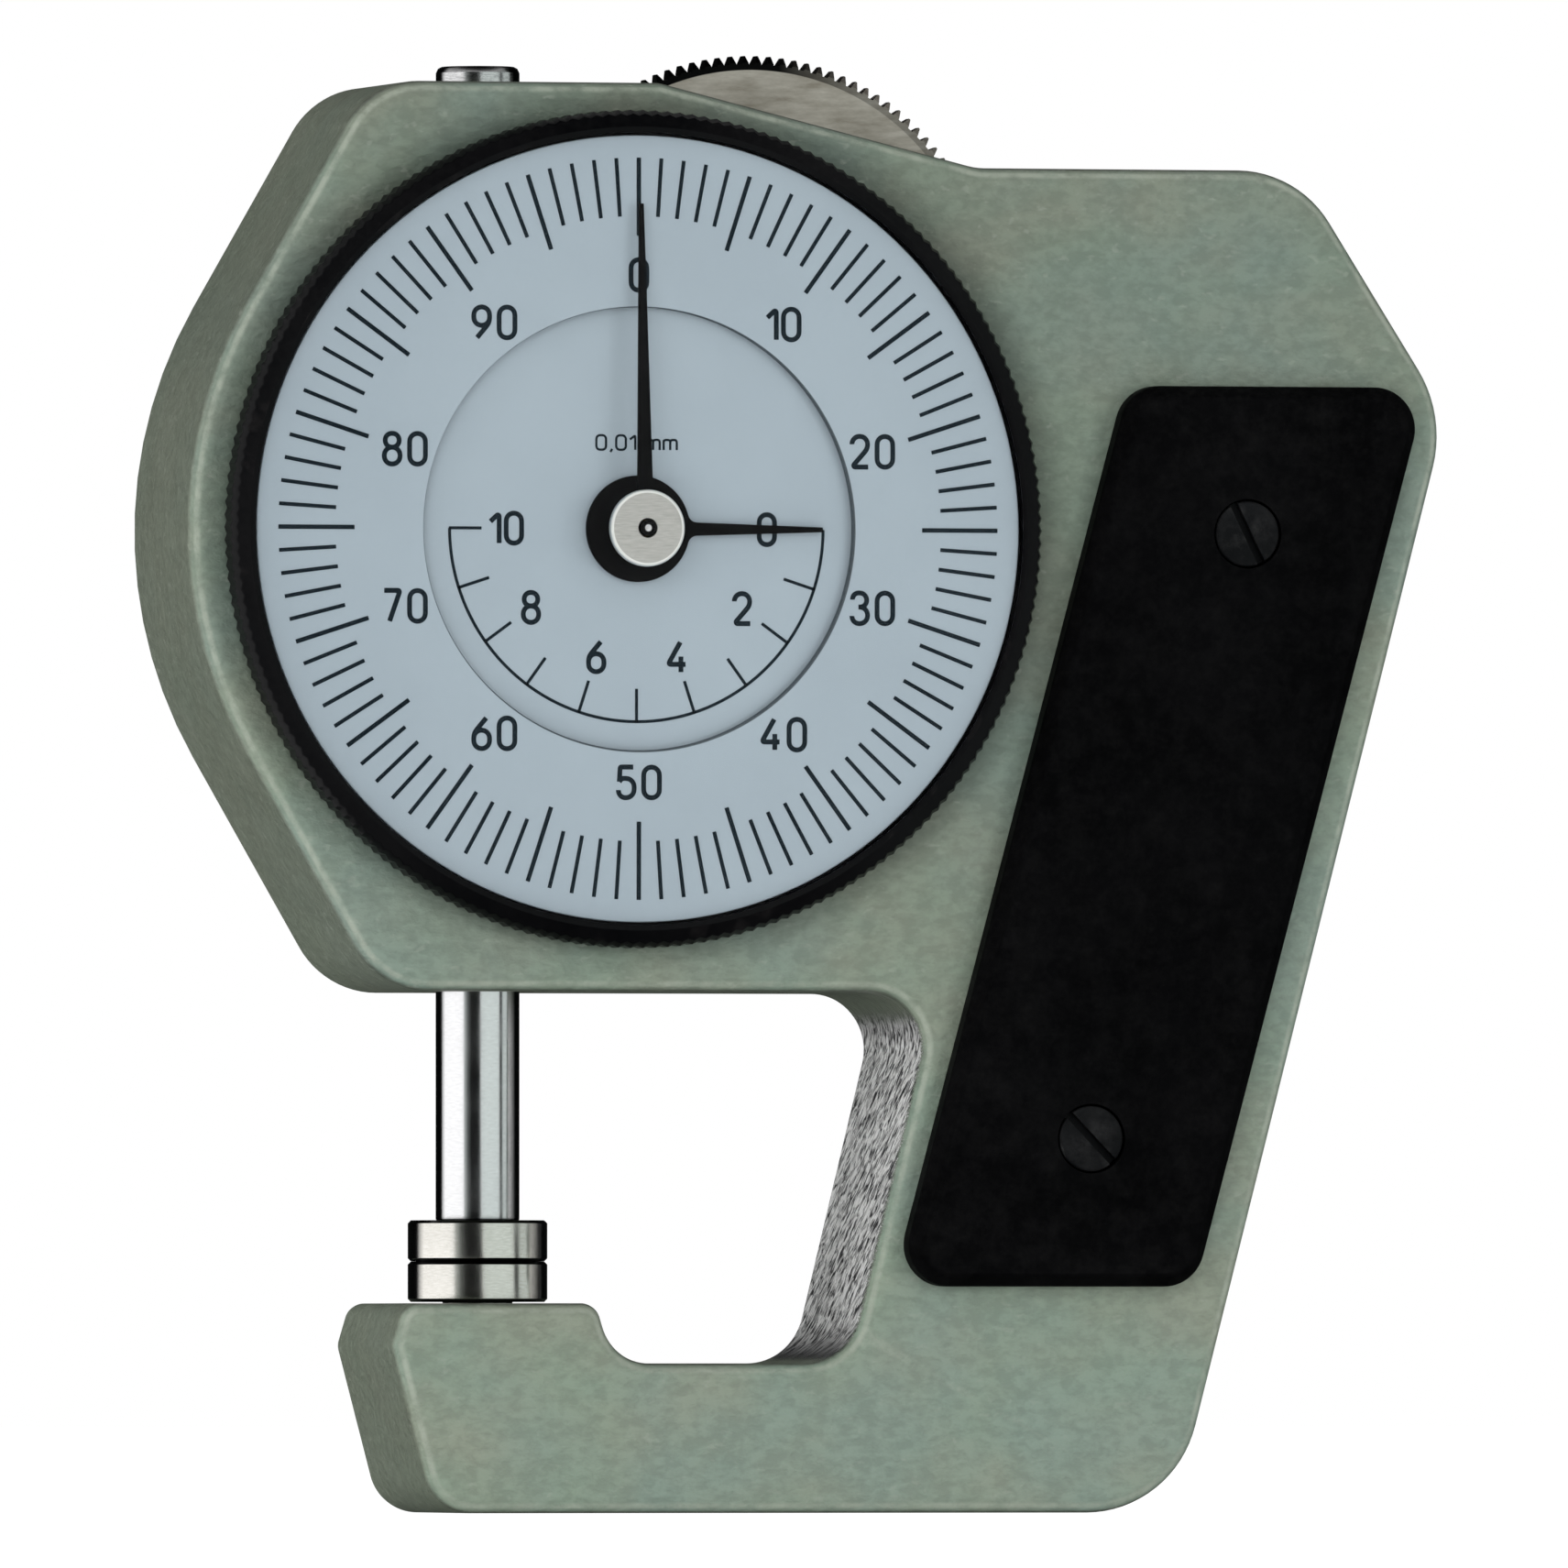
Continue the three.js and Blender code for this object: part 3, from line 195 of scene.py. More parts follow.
def round_edges(piece: Piece, depths: tuple[float, ...], width: float, strips: int) -> None:
    """Rounds the edges that lie flat at certain depths.

    Args:
        piece: the piece.
        depths: the places along Y.
        width: how far the rounding reaches from an edge.
        strips: the number of strips in it; one makes a chamfer.
    """
    choose(piece, Select.EDGES, lambda a, b: any(max(abs(a.y - y), abs(b.y - y)) < NEAR for y in depths))
    bpy.ops.mesh.bevel(offset=width * MM, segments=strips, profile=0.5, affect="EDGES", clamp_overlap=False)
    close_up()


def smooth(piece: Piece, angle: float = 32.0, flat_faces: bool = False) -> None:
    """Shades a piece smooth up to an angle between faces.

    Args:
        piece: the piece to shade.
        angle: the largest angle in degrees that is smoothed over.
        flat_faces: keeps large flat faces flat beside their rounded edges.
    """
    pick(piece)
    bpy.ops.object.shade_smooth_by_angle(angle=math.radians(angle))
    if flat_faces:
        bpy.ops.object.modifier_add(type="WEIGHTED_NORMAL")
        modifier = piece.modifiers[-1]
        modifier.keep_sharp = True
        modifier.weight = 90
        bpy.ops.object.modifier_apply(modifier=modifier.name)


def combine(piece: Piece, helper: Piece, join: Join) -> None:
    """Cuts a helper solid out of a piece or adds it, and deletes the helper.

    Args:
        piece: the piece that changes.
        helper: the solid that is used up.
        join: whether it cuts or adds.
    """
    pick(piece)
    bpy.ops.object.modifier_add(type="BOOLEAN")
    modifier = piece.modifiers[-1]
    modifier.operation = join.value
    modifier.object = helper
    modifier.solver = "EXACT"
    bpy.ops.object.modifier_apply(modifier=modifier.name)
    pick(helper)
    bpy.ops.object.delete()


def rod(
    piece: Piece, join: Join, axis: Axis, radius: float, start: float, end: float, centre: Point, sides: int = 64
) -> None:
    """Cuts a round rod out of a piece or adds it.

    Args:
        piece: the piece that changes.
        join: whether the rod cuts or adds.
        axis: the rod's direction.
        radius: its radius.
        start: one of its ends along the axis.
        end: the other.
        centre: a point on its middle line; its place along the axis is ignored.
        sides: its number of sides.
    """
    direction = Vector(axis.value)
    middle = Vector(centre) - direction * Vector(centre).dot(direction) + direction * (start + end) / 2
    turn = (math.pi / 2 if axis is Axis.DIAL else 0, 0, 0)
    clear()
    bpy.ops.mesh.primitive_cylinder_add(
        vertices=sides, radius=radius * MM, depth=abs(end - start) * MM, location=middle * MM, rotation=turn
    )
    bpy.ops.object.transform_apply(location=True, rotation=True, scale=True)
    combine(piece, bpy.context.object, join)


@dataclass(frozen=True)
class Corner:
    """A corner of an outline and the radius that rounds it."""

    across: float
    up: float
    radius: float = 0.0

    @property
    def point(self) -> Vector:
        """The corner's place."""
        return Vector((self.across, self.up))


Outline = tuple[Corner, ...]


def path(*corners: tuple[float, ...]) -> Outline:
    """Returns an outline's corners, each given as its place and, if it has one, its radius."""
    return tuple(Corner(*corner) for corner in corners)


def box(left: float, foot: float, right: float, top: float, radius: float = 0.0) -> Outline:
    """Returns the outline between four sides, with round corners if a radius is given."""
    return path((left, foot, radius), (right, foot, radius), (right, top, radius), (left, top, radius))


@dataclass(frozen=True)
class Bend:
    """Where the line to a corner ends, and the arc that rounds it, if there is one."""

    start: Vector
    centre: Vector | None = None
    sweep: float = 0.0
    steps: int = 0


def bend(before: Corner, corner: Corner, after: Corner, step: float) -> Bend:
    """Works out the arc that touches both lines at a corner.

    Args:
        before: the corner before it.
        corner: the corner to round.
        after: the corner after it.
        step: the largest angle of one strip, in degrees.

    Returns:
        The arc, with no steps where the corner stays sharp.
    """
    here = corner.point
    back, ahead = ((end.point - here).normalized() for end in (before, after))
    half = math.acos(max(-1.0, min(1.0, back.dot(ahead)))) / 2
    if corner.radius == 0 or math.sin(2 * half) < 2e-4:
        return Bend(here)
    start = here + back * (corner.radius / math.tan(half))
    centre = here + (back + ahead).normalized() * (corner.radius / math.sin(half))
    sweep = math.copysign(math.pi - 2 * half, ahead.x * back.y - ahead.y * back.x)
    return Bend(start, centre, sweep, max(2, math.ceil(abs(math.degrees(sweep)) / step)))


def start_point(name: str, place: Vector) -> Piece:
    """Starts a mesh with one point and leaves it open, with the point selected.

    Args:
        name: the piece's name.
        place: the point's place in metres.

    Returns:
        The piece.
    """
    clear()
    bpy.ops.mesh.primitive_plane_add(size=MM, location=(0, 0, 0))
    piece = bpy.context.object
    piece.name = piece.data.name = name
    edit(piece)
    bpy.ops.mesh.merge(type="CENTER")
    bpy.ops.transform.translate(value=place)
    return piece


class Pen:
    """Draws a path of edges in edit mode by extruding and spinning its last point."""

    def __init__(self, name: str, plane: Plane, origin: Point, across: float, up: float) -> None:
        """Starts a new mesh with one point.

        Args:
            name: the piece's name.
            plane: the plane that is drawn in.
            origin: the plane's own zero.
            across: the first point's place along the plane's first direction.
            up: its place along the second.
        """
        self.right, self.upward, self.axis = (Vector(direction) for direction in plane.value)
        self.origin = Vector(origin)
        self.tip = Vector((across, up))
        self.piece = start_point(name, self.place(self.tip))

    def place(self, point: Vector) -> Vector:
        """Returns a point of the plane in metres."""
        return (self.origin + self.right * point.x + self.upward * point.y) * MM

    def line(self, across: float, up: float) -> None:
        """Draws a straight edge to a point of the plane.

        Args:
            across: the point's place along the plane's first direction.
            up: its place along the second.
        """
        end = Vector((across, up))
        extrude(self.place(end) - self.place(self.tip))
        self.tip = end

    def arc(self, centre: Vector, sweep: float, steps: int) -> None:
        """Draws an arc round a centre.

        Args:
            centre: the arc's centre in the plane.
            sweep: its angle in radians, positive from the plane's first direction to its second.
            steps: its number of edges.
        """
        bpy.ops.mesh.spin(steps=steps, angle=sweep, center=self.place(centre), axis=self.axis)
        self.tip = centre + Matrix.Rotation(sweep, 2) @ (self.tip - centre)

    def end(self, merge: float = MERGE) -> Piece:
        """Selects the whole drawing and merges its doubles.

        Args:
            merge: how near doubles are.

        Returns:
            The piece.
        """
        bpy.ops.mesh.select_all(action="SELECT")
        bpy.ops.mesh.remove_doubles(threshold=merge * MM)
        return self.piece

    def thicken(self, depth: float, merge: float = MERGE) -> Piece:
        """Fills the closed outline and thickens it towards +Y.

        Args:
            depth: the thickness.
            merge: how near doubles are in the outline.

        Returns:
            The closed piece, out of edit mode.
        """
        self.end(merge)
        bpy.ops.mesh.edge_face_add()
        extrude((0, depth * MM, 0))
        close_up()
        return self.piece

    def turn(self, axis: Axis, steps: int) -> Piece:
        """Spins the section once round an axis through the plane's zero.

        Args:
            axis: the axis.
            steps: strips in the whole turn.

        Returns:
            The closed piece, out of edit mode.
        """
        self.end()
        bpy.ops.mesh.spin(steps=steps, angle=2 * math.pi, center=self.origin * MM, axis=axis.value)
        close_up()
        return self.piece


def draw(name: str, plane: Plane, origin: Point, corners: Outline, closed: bool, step: float = 10) -> Pen:
    """Draws a whole outline with rounded corners and leaves it in edit mode.

    Args:
        name: the piece's name.
        plane: the plane that is drawn in.
        origin: the plane's own zero.
        corners: the outline's corners in order.
        closed: whether the last corner joins the first.
        step: the largest angle of an arc's edges, in degrees.

    Returns:
        The pen with the piece.
    """
    count = len(corners)
    bends = [bend(corners[i - 1], corners[i], corners[(i + 1) % count], step) for i in range(count)]
    if not closed:
        bends[0], bends[-1] = Bend(corners[0].point), Bend(corners[-1].point)
    pen = Pen(name, plane, origin, *bends[0].start)
    for i, arc in enumerate(bends):
        if i > 0:
            pen.line(*arc.start)
        if arc.steps:
            pen.arc(arc.centre, arc.sweep, arc.steps)
    if closed:
        pen.line(*bends[0].start)
    return pen


def slab(name: str, corners: Outline, start: float, end: float, origin: Point = (0, 0, 0), step: float = 10) -> Piece:
    """Models a piece of even thickness from its outline in X and Z.

    Args:
        name: the piece's name.
        corners: the outline's corners.
        start: the depth of its first face.
        end: the depth of its second face.
        origin: the outline's own zero; its depth is ignored.
        step: the largest angle of an arc's edges, in degrees.

    Returns:
        The piece, out of edit mode.
    """
    return draw(name, Plane.FRONT, (origin[0], start, origin[2]), corners, True, step).thicken(end - start)


def turned(name: str, axis: Axis, centre: Point, corners: Outline, steps: int = 96, closed: bool = True) -> Piece:
    """Models a turned piece from half its section.

    Args:
        name: the piece's name.
        axis: the direction of its middle line.
        centre: a point on its middle line, at the section's own zero.
        corners: the section's corners, each as its radius and its place along the axis.
        steps: strips in the whole turn.
        closed: whether the section is a ring's; if not, it runs from the middle line back to it.

    Returns:
        The piece, out of edit mode.
    """
    plane = Plane.SECTION if axis is Axis.DIAL else Plane.FRONT
    return draw(name, plane, centre, corners, closed, 15).turn(axis, steps)


def dress(piece: Piece, finish: str) -> None:
    """Gives a piece one of the gauge's own finishes, by its name."""
    piece.data.materials.clear()
    piece.data.materials.append(FINISHES[finish])


def enter(piece: Piece, body: str, slot: str, *nodes: str, finish: str = "") -> None:
    """Gives a finished piece its material, its body and the CAD nodes that it stands for.

    Args:
        piece: the piece.
        body: the CAD body that it moves with.
        slot: the record's material slot.
        nodes: the CAD nodes that it replaces.
        finish: its finish, where that isn't the one named like the slot.
    """
    dress(piece, finish or slot)
    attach(piece, body)
    if nodes:
        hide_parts(*nodes)
    LOG.info("piece %s on %s", piece.name, body)


class Bench:
    """Short ways to place and join the nodes of one tree."""

    def __init__(self, tree: Tree) -> None:
        """Takes the tree to work in."""
        self.tree = tree

    def node(self, kind: str, **values: object) -> bpy.types.Node:
        """Adds a node and sets its options and its inputs.

        Args:
            kind: the node's type, without ShaderNode.
            values: options by attribute name, or inputs by name.

        Returns:
            The node.
        """
        made = self.tree.nodes.new("ShaderNode" + kind)
        for key, value in values.items():
            if hasattr(made, key):
                setattr(made, key, value)
            else:
                self.feed(made, key, value)
        return made

    def feed(self, node: bpy.types.Node, name: str | int, value: object) -> None:
        """Sets an input to a number or colour, or joins it to another node's output.

        Args:
            node: the node whose input it is.
            name: the input's name or number.
            value: a socket, a number or a colour.
        """
        socket = node.inputs[name]
        if isinstance(value, Socket):
            self.tree.links.new(value, socket)
        elif socket.type == "RGBA":
            socket.default_value = (*value, 1)
        else:
            socket.default_value = value

    def math(self, operation: str, *values: Value) -> Socket:
        """Adds a sum on one or two values.

        Args:
            operation: the Math node's operation.
            values: the values.

        Returns:
            The result.
        """
        made = self.node("Math", operation=operation)
        for i, value in enumerate(values):
            self.feed(made, i, value)
        return made.outputs[0]

    def times(self, *factors: Value) -> Socket:
        """Returns the product of values."""
        return reduce(lambda first, second: self.math("MULTIPLY", first, second), factors)

    def mix(self, share: Socket, first: Socket | Colour, second: Socket | Colour) -> Socket:
        """Mixes two colours.

        Args:
            share: how much of the second shows.
            first: the first colour.
            second: the second colour.

        Returns:
            The mixed colour.
        """
        made = self.node("Mix", data_type="RGBA")
        for i, value in ((0, share), (6, first), (7, second)):
            self.feed(made, i, value)
        return made.outputs[2]

    def ramp(self, value: Socket, low: Value, high: Value, start: Value = 0.0, end: Value = 1.0) -> Socket:
        """Maps a value from one range to another, held at both ends.

        Args:
            value: the value.
            low: where the range starts.
            high: where it ends.
            start: the result at its start.
            end: the result at its end.

        Returns:
            The mapped value.
        """
        made = self.node("MapRange", clamp=True)
        for i, part in enumerate((value, low, high, start, end)):
            self.feed(made, i, part)
        return made.outputs[0]

    @cached_property
    def place(self) -> Socket:
        """The place on the piece, in its own millimetres."""
        metres = self.node("TexCoord").outputs["Object"]
        return self.node("VectorMath", operation="SCALE", Vector=metres, Scale=1 / MM).outputs[0]

    def along(self, letter: str) -> Socket:
        """Returns the place along X, Y or Z in millimetres."""
        return self.node("SeparateXYZ", Vector=self.place).outputs[letter]

    def normal(self, letter: str) -> Socket:
        """Returns the normal's part along X, Y or Z."""
        return self.node("SeparateXYZ", Vector=self.node("NewGeometry").outputs["Normal"]).outputs[letter]

    def noise(self, scale: Value, detail: float, vector: Socket | None = None, **values: float) -> Socket:
        """Adds noise.

        Args:
            scale: how many of its cells go on a millimetre.
            detail: its detail.
            vector: where it is read, if not at the plain place.
            values: more of its inputs.

        Returns:
            The noise, round about 0.5.
        """
        return self.node("TexNoise", Vector=vector or self.place, Scale=scale, Detail=detail, **values).outputs["Fac"]

    def show(self, share: Socket, first: Socket, second: Socket) -> None:
        """Mixes two shaders on the material's surface.

        Args:
            share: how much of the second shows.
            first: the first shader.
            second: the second shader.
        """
        both = self.node("MixShader")
        for i, value in enumerate((share, first, second)):
            self.feed(both, i, value)
        self.feed(self.tree.nodes["Material Output"], "Surface", both.outputs[0])


def new_surface(piece: Piece) -> Bench:
    """Gives a piece of the stage a new material of its name.

    Args:
        piece: the piece.

    Returns:
        The material's bench.
    """
    material = bpy.data.materials.new(piece.name)
    material.use_nodes = True
    piece.data.materials.append(material)
    return Bench(material.node_tree)


class Group(Bench):
    """A shader group with number inputs and outputs."""

    def __init__(self, name: str, outputs: tuple[str, ...], **inputs: float) -> None:
        """Starts the group.

        Args:
            name: the group's name.
            outputs: its outputs.
            inputs: its inputs and their defaults.
        """
        super().__init__(bpy.data.node_groups.new(name, "ShaderNodeTree"))
        sockets = self.tree.interface
        for key, value in inputs.items():
            sockets.new_socket(name=key, in_out="INPUT", socket_type="NodeSocketFloat").default_value = value
        for key in outputs:
            sockets.new_socket(name=key, in_out="OUTPUT", socket_type="NodeSocketFloat")
        self.given = self.tree.nodes.new("NodeGroupInput").outputs

    def give(self, **results: Socket) -> Tree:
        """Joins the group's outputs.

        Args:
            results: what comes out, by name.

        Returns:
            The group's tree.
        """
        exit_node = self.tree.nodes.new("NodeGroupOutput")
        for key, value in results.items():
            self.feed(exit_node, key, value)
        return self.tree


class Effects:
    """The shared surface effects, each a shader group built once."""

    def __init__(self) -> None:
        """Builds every group."""
        self.hammer = self.hammer_group()
        self.grain = self.grain_group()
        self.wear = self.wear_group()
        self.turn = self.turn_group()
        self.dust = self.dust_group()
        self.brush = self.brush_group()
        self.wrinkle = self.wrinkle_group()
        self.ring = self.ring_group()

    def hammer_group(self) -> Tree:
        """Returns the group of hammer-finish paint: a rolling relief, drifting patches and short light flecks."""
        group = Group("hammer_finish", ("Height", "Relief", "Drift", "Cool", "Fleck"), Size=1.1)
        density = group.math("DIVIDE", 1.0, group.given["Size"])
        lying = group.node("VectorMath", operation="MULTIPLY", Vector=group.place)
        lying.inputs[1].default_value = (0.62, 1.0, 1.0)
        lying = lying.outputs[0]
        fine = group.times(group.noise(3.4, 2.0, lying), 0.3)
        height = group.math("ADD", group.noise(density, 3.0, lying, Roughness=0.55, Distortion=0.25), fine)
        return group.give(
            Height=height,
            Relief=group.ramp(height, 0.52, 0.78),
            Drift=group.ramp(group.noise(0.13, 3.0, lying, Roughness=0.5, Distortion=0.2), 0.38, 0.62),
            Cool=group.ramp(group.noise(0.08, 3.0, Roughness=0.5, Distortion=0.2), 0.42, 0.66),
            Fleck=group.ramp(group.noise(1.5, 2.0, lying, Distortion=0.3), 0.64, 0.74),
        )

    def grain_group(self) -> Tree:
        """Returns the group of fine moulded or enamelled grain."""
        group = Group("fine_grain", ("Height", "Tone"), Size=0.15)
        density = group.math("DIVIDE", 1.0, group.given["Size"])
        height = group.noise(density, 2.0, Roughness=0.5)
        return group.give(Height=height, Tone=group.ramp(group.noise(0.12, 3.0), 0.35, 0.65))

    def wear_group(self) -> Tree:
        """Returns the group of worn edges: a mask on sharp convex edges, broken up by noise."""
        group = Group("edge_wear", ("Mask",), Amount=0.5)
        sharp = group.ramp(group.node("NewGeometry").outputs["Pointiness"], 0.51, 0.58)
        broken = group.ramp(group.noise(0.5, 5.0, Roughness=0.7), 0.42, 0.7)
        return group.give(Mask=group.times(sharp, broken, group.given["Amount"]))

    def turn_group(self) -> Tree:
        """Returns the group of rounded edges between Y faces and side walls: masks for painted light, a highlight on
        the crest and shade on the far edge and on the wall.
        """
        group = Group("rounded_edges", ("Crest", "Line", "Wall"), Size=2.0)
        facing = group.math("ABSOLUTE", group.normal("Y"))
        density = group.math("DIVIDE", 1.0, group.given["Size"])
        broken = group.ramp(group.noise(density, 4.0, Roughness=0.65), 0.38, 0.6, 0.3, 1.0)
        crest = group.times(group.ramp(facing, 0.84, 0.93, 1.0, 0.0), group.ramp(facing, 0.62, 0.74), broken)
        rim = group.times(group.ramp(facing, 0.4, 0.62, 1.0, 0.0), group.ramp(facing, 0.05, 0.2))
        upright = group.ramp(group.math("ABSOLUTE", group.normal("Z")), 0.3, 0.7)
        return group.give(Crest=crest, Line=group.times(rim, upright), Wall=group.ramp(facing, 0.2, 0.5, 1.0, 0.0))

    def dust_group(self) -> Tree:
        """Returns the group of thin dust and handling marks, thicker on surfaces that look up."""
        group = Group("dust_and_smears", ("Mask", "Smear"), Amount=0.1)
        lying = group.ramp(group.normal("Z"), -0.2, 1.0, 0.25, 1.0)
        specks = group.ramp(group.noise(1.7, 6.0, Roughness=0.75), 0.45, 0.8)
        smears = group.ramp(group.noise(0.09, 3.0, Distortion=1.2), 0.3, 0.7)
        return group.give(Mask=group.times(specks, lying, group.given["Amount"]), Smear=smears)

    def brush_group(self) -> Tree:
        """Returns the group of machining marks: noise that is packed closer along X, Y or Z."""
        group = Group("tool_marks", ("Height", "Tone"), X=1.0, Y=1.0, Z=1.0)
        packed = {letter: group.times(group.along(letter), group.given[letter]) for letter in "XYZ"}
        lines = group.noise(1.0, 4.0, group.node("CombineXYZ", **packed).outputs[0], Roughness=0.65)
        return group.give(Height=lines, Tone=group.ramp(lines, 0.3, 0.7))

    def wrinkle_group(self) -> Tree:
        """Returns the group of wrinkled paint on a wall in Y and Z: crests that run up it at a slant."""
        group = Group("wrinkled_wall", ("Height", "Crest"), Size=0.6)
        deep, high, size = group.along("Y"), group.along("Z"), group.given["Size"]
        slanted = group.math("DIVIDE", group.math("ADD", deep, group.times(high, 0.7)), size)
        drawn = group.node("CombineXYZ", Y=slanted, Z=group.math("DIVIDE", group.times(high, 0.5), size))
        folds = group.noise(1.0, 2.5, drawn.outputs[0], Roughness=0.55, Distortion=1.0)
        return group.give(Height=folds, Crest=group.ramp(folds, 0.39, 0.57))

    def ring_group(self) -> Tree:
        """Returns the group of a ring in X and Z: a mask between two radii round a middle."""
        group = Group("ring_mask", ("Mask",), X=0.0, Z=0.0, Inner=1.0, Outer=2.0, Blur=0.05)
        reach = {letter: group.math("SUBTRACT", group.along(letter), group.given[letter]) for letter in "XZ"}
        radius = group.math("SQRT", group.math("ADD", *(group.times(part, part) for part in reach.values())))
        inner, outer, blur = (group.given[key] for key in ("Inner", "Outer", "Blur"))
        past_inner = group.ramp(radius, inner, group.math("ADD", inner, blur))
        inside = group.ramp(radius, group.math("SUBTRACT", outer, blur), outer, 1.0, 0.0)
        return group.give(Mask=group.times(past_inner, inside))


class Dresser(Bench):
    """Starts a material, places effect groups in it and joins them to its one shader."""

    def __init__(self, name: str, effects: Effects, **values: float) -> None:
        """Starts the material.

        Args:
            name: the finish's name.
            effects: the shared effects.
            values: inputs of its shader, with _ for a space.
        """
        self.name, self.effects = name, effects
        self.material = bpy.data.materials.new(name)
        self.material.use_nodes = True
        super().__init__(self.material.node_tree)
        self.shader = self.tree.nodes["Principled BSDF"]
        for key, value in values.items():
            self.feed(self.shader, key.replace("_", " "), value)

    def effect(self, group: Tree, **values: float) -> bpy.types.NodeOutputs:
        """Places an effect group.

        Args:
            group: the group.
            values: its inputs.

        Returns:
            The outputs of the group's node.
        """
        made = self.tree.nodes.new("ShaderNodeGroup")
        made.node_tree = group
        for key, value in values.items():
            self.feed(made, key, value)
        return made.outputs

    def worn(self, colour: Socket, amount: float, bare: Colour) -> Socket:
        """Returns a colour with worn edges.

        Args:
            colour: the colour.
            amount: how far the edges are worn.
            bare: what shows there.
        """
        return self.mix(self.effect(self.effects.wear, Amount=amount)["Mask"], colour, bare)

    def dusted(self, colour: Socket | Colour, amount: float, dust: Colour, smooth: float, rough: float) -> Socket:
        """Lays dust on a colour, and sets the roughness by the smears in it.

        Args:
            colour: the colour.
            amount: how thick the dust is.
            dust: its colour.
            smooth: the roughness between the smears.
            rough: the roughness in them.

        Returns:
            The dusted colour.
        """
        marks = self.effect(self.effects.dust, Amount=amount)
        self.feed(self.shader, "Roughness", self.ramp(marks["Smear"], 0.0, 1.0, smooth, rough))
        return self.mix(marks["Mask"], colour, dust)

    def bump(self, height: Socket, strength: float, depth: float) -> None:
        """Joins a height to the shader's normal.

        Args:
            height: the height.
            strength: the bump's strength.
            depth: the height's span in millimetres.
        """
        made = self.node("Bump", Strength=strength, Distance=depth * MM, Height=height)
        self.feed(self.shader, "Normal", made.outputs[0])

    def finish(self, colour: Socket) -> None:
        """Joins the colour and keeps the material under its name."""
        self.feed(self.shader, "Base Color", colour)
        FINISHES[self.name] = self.material


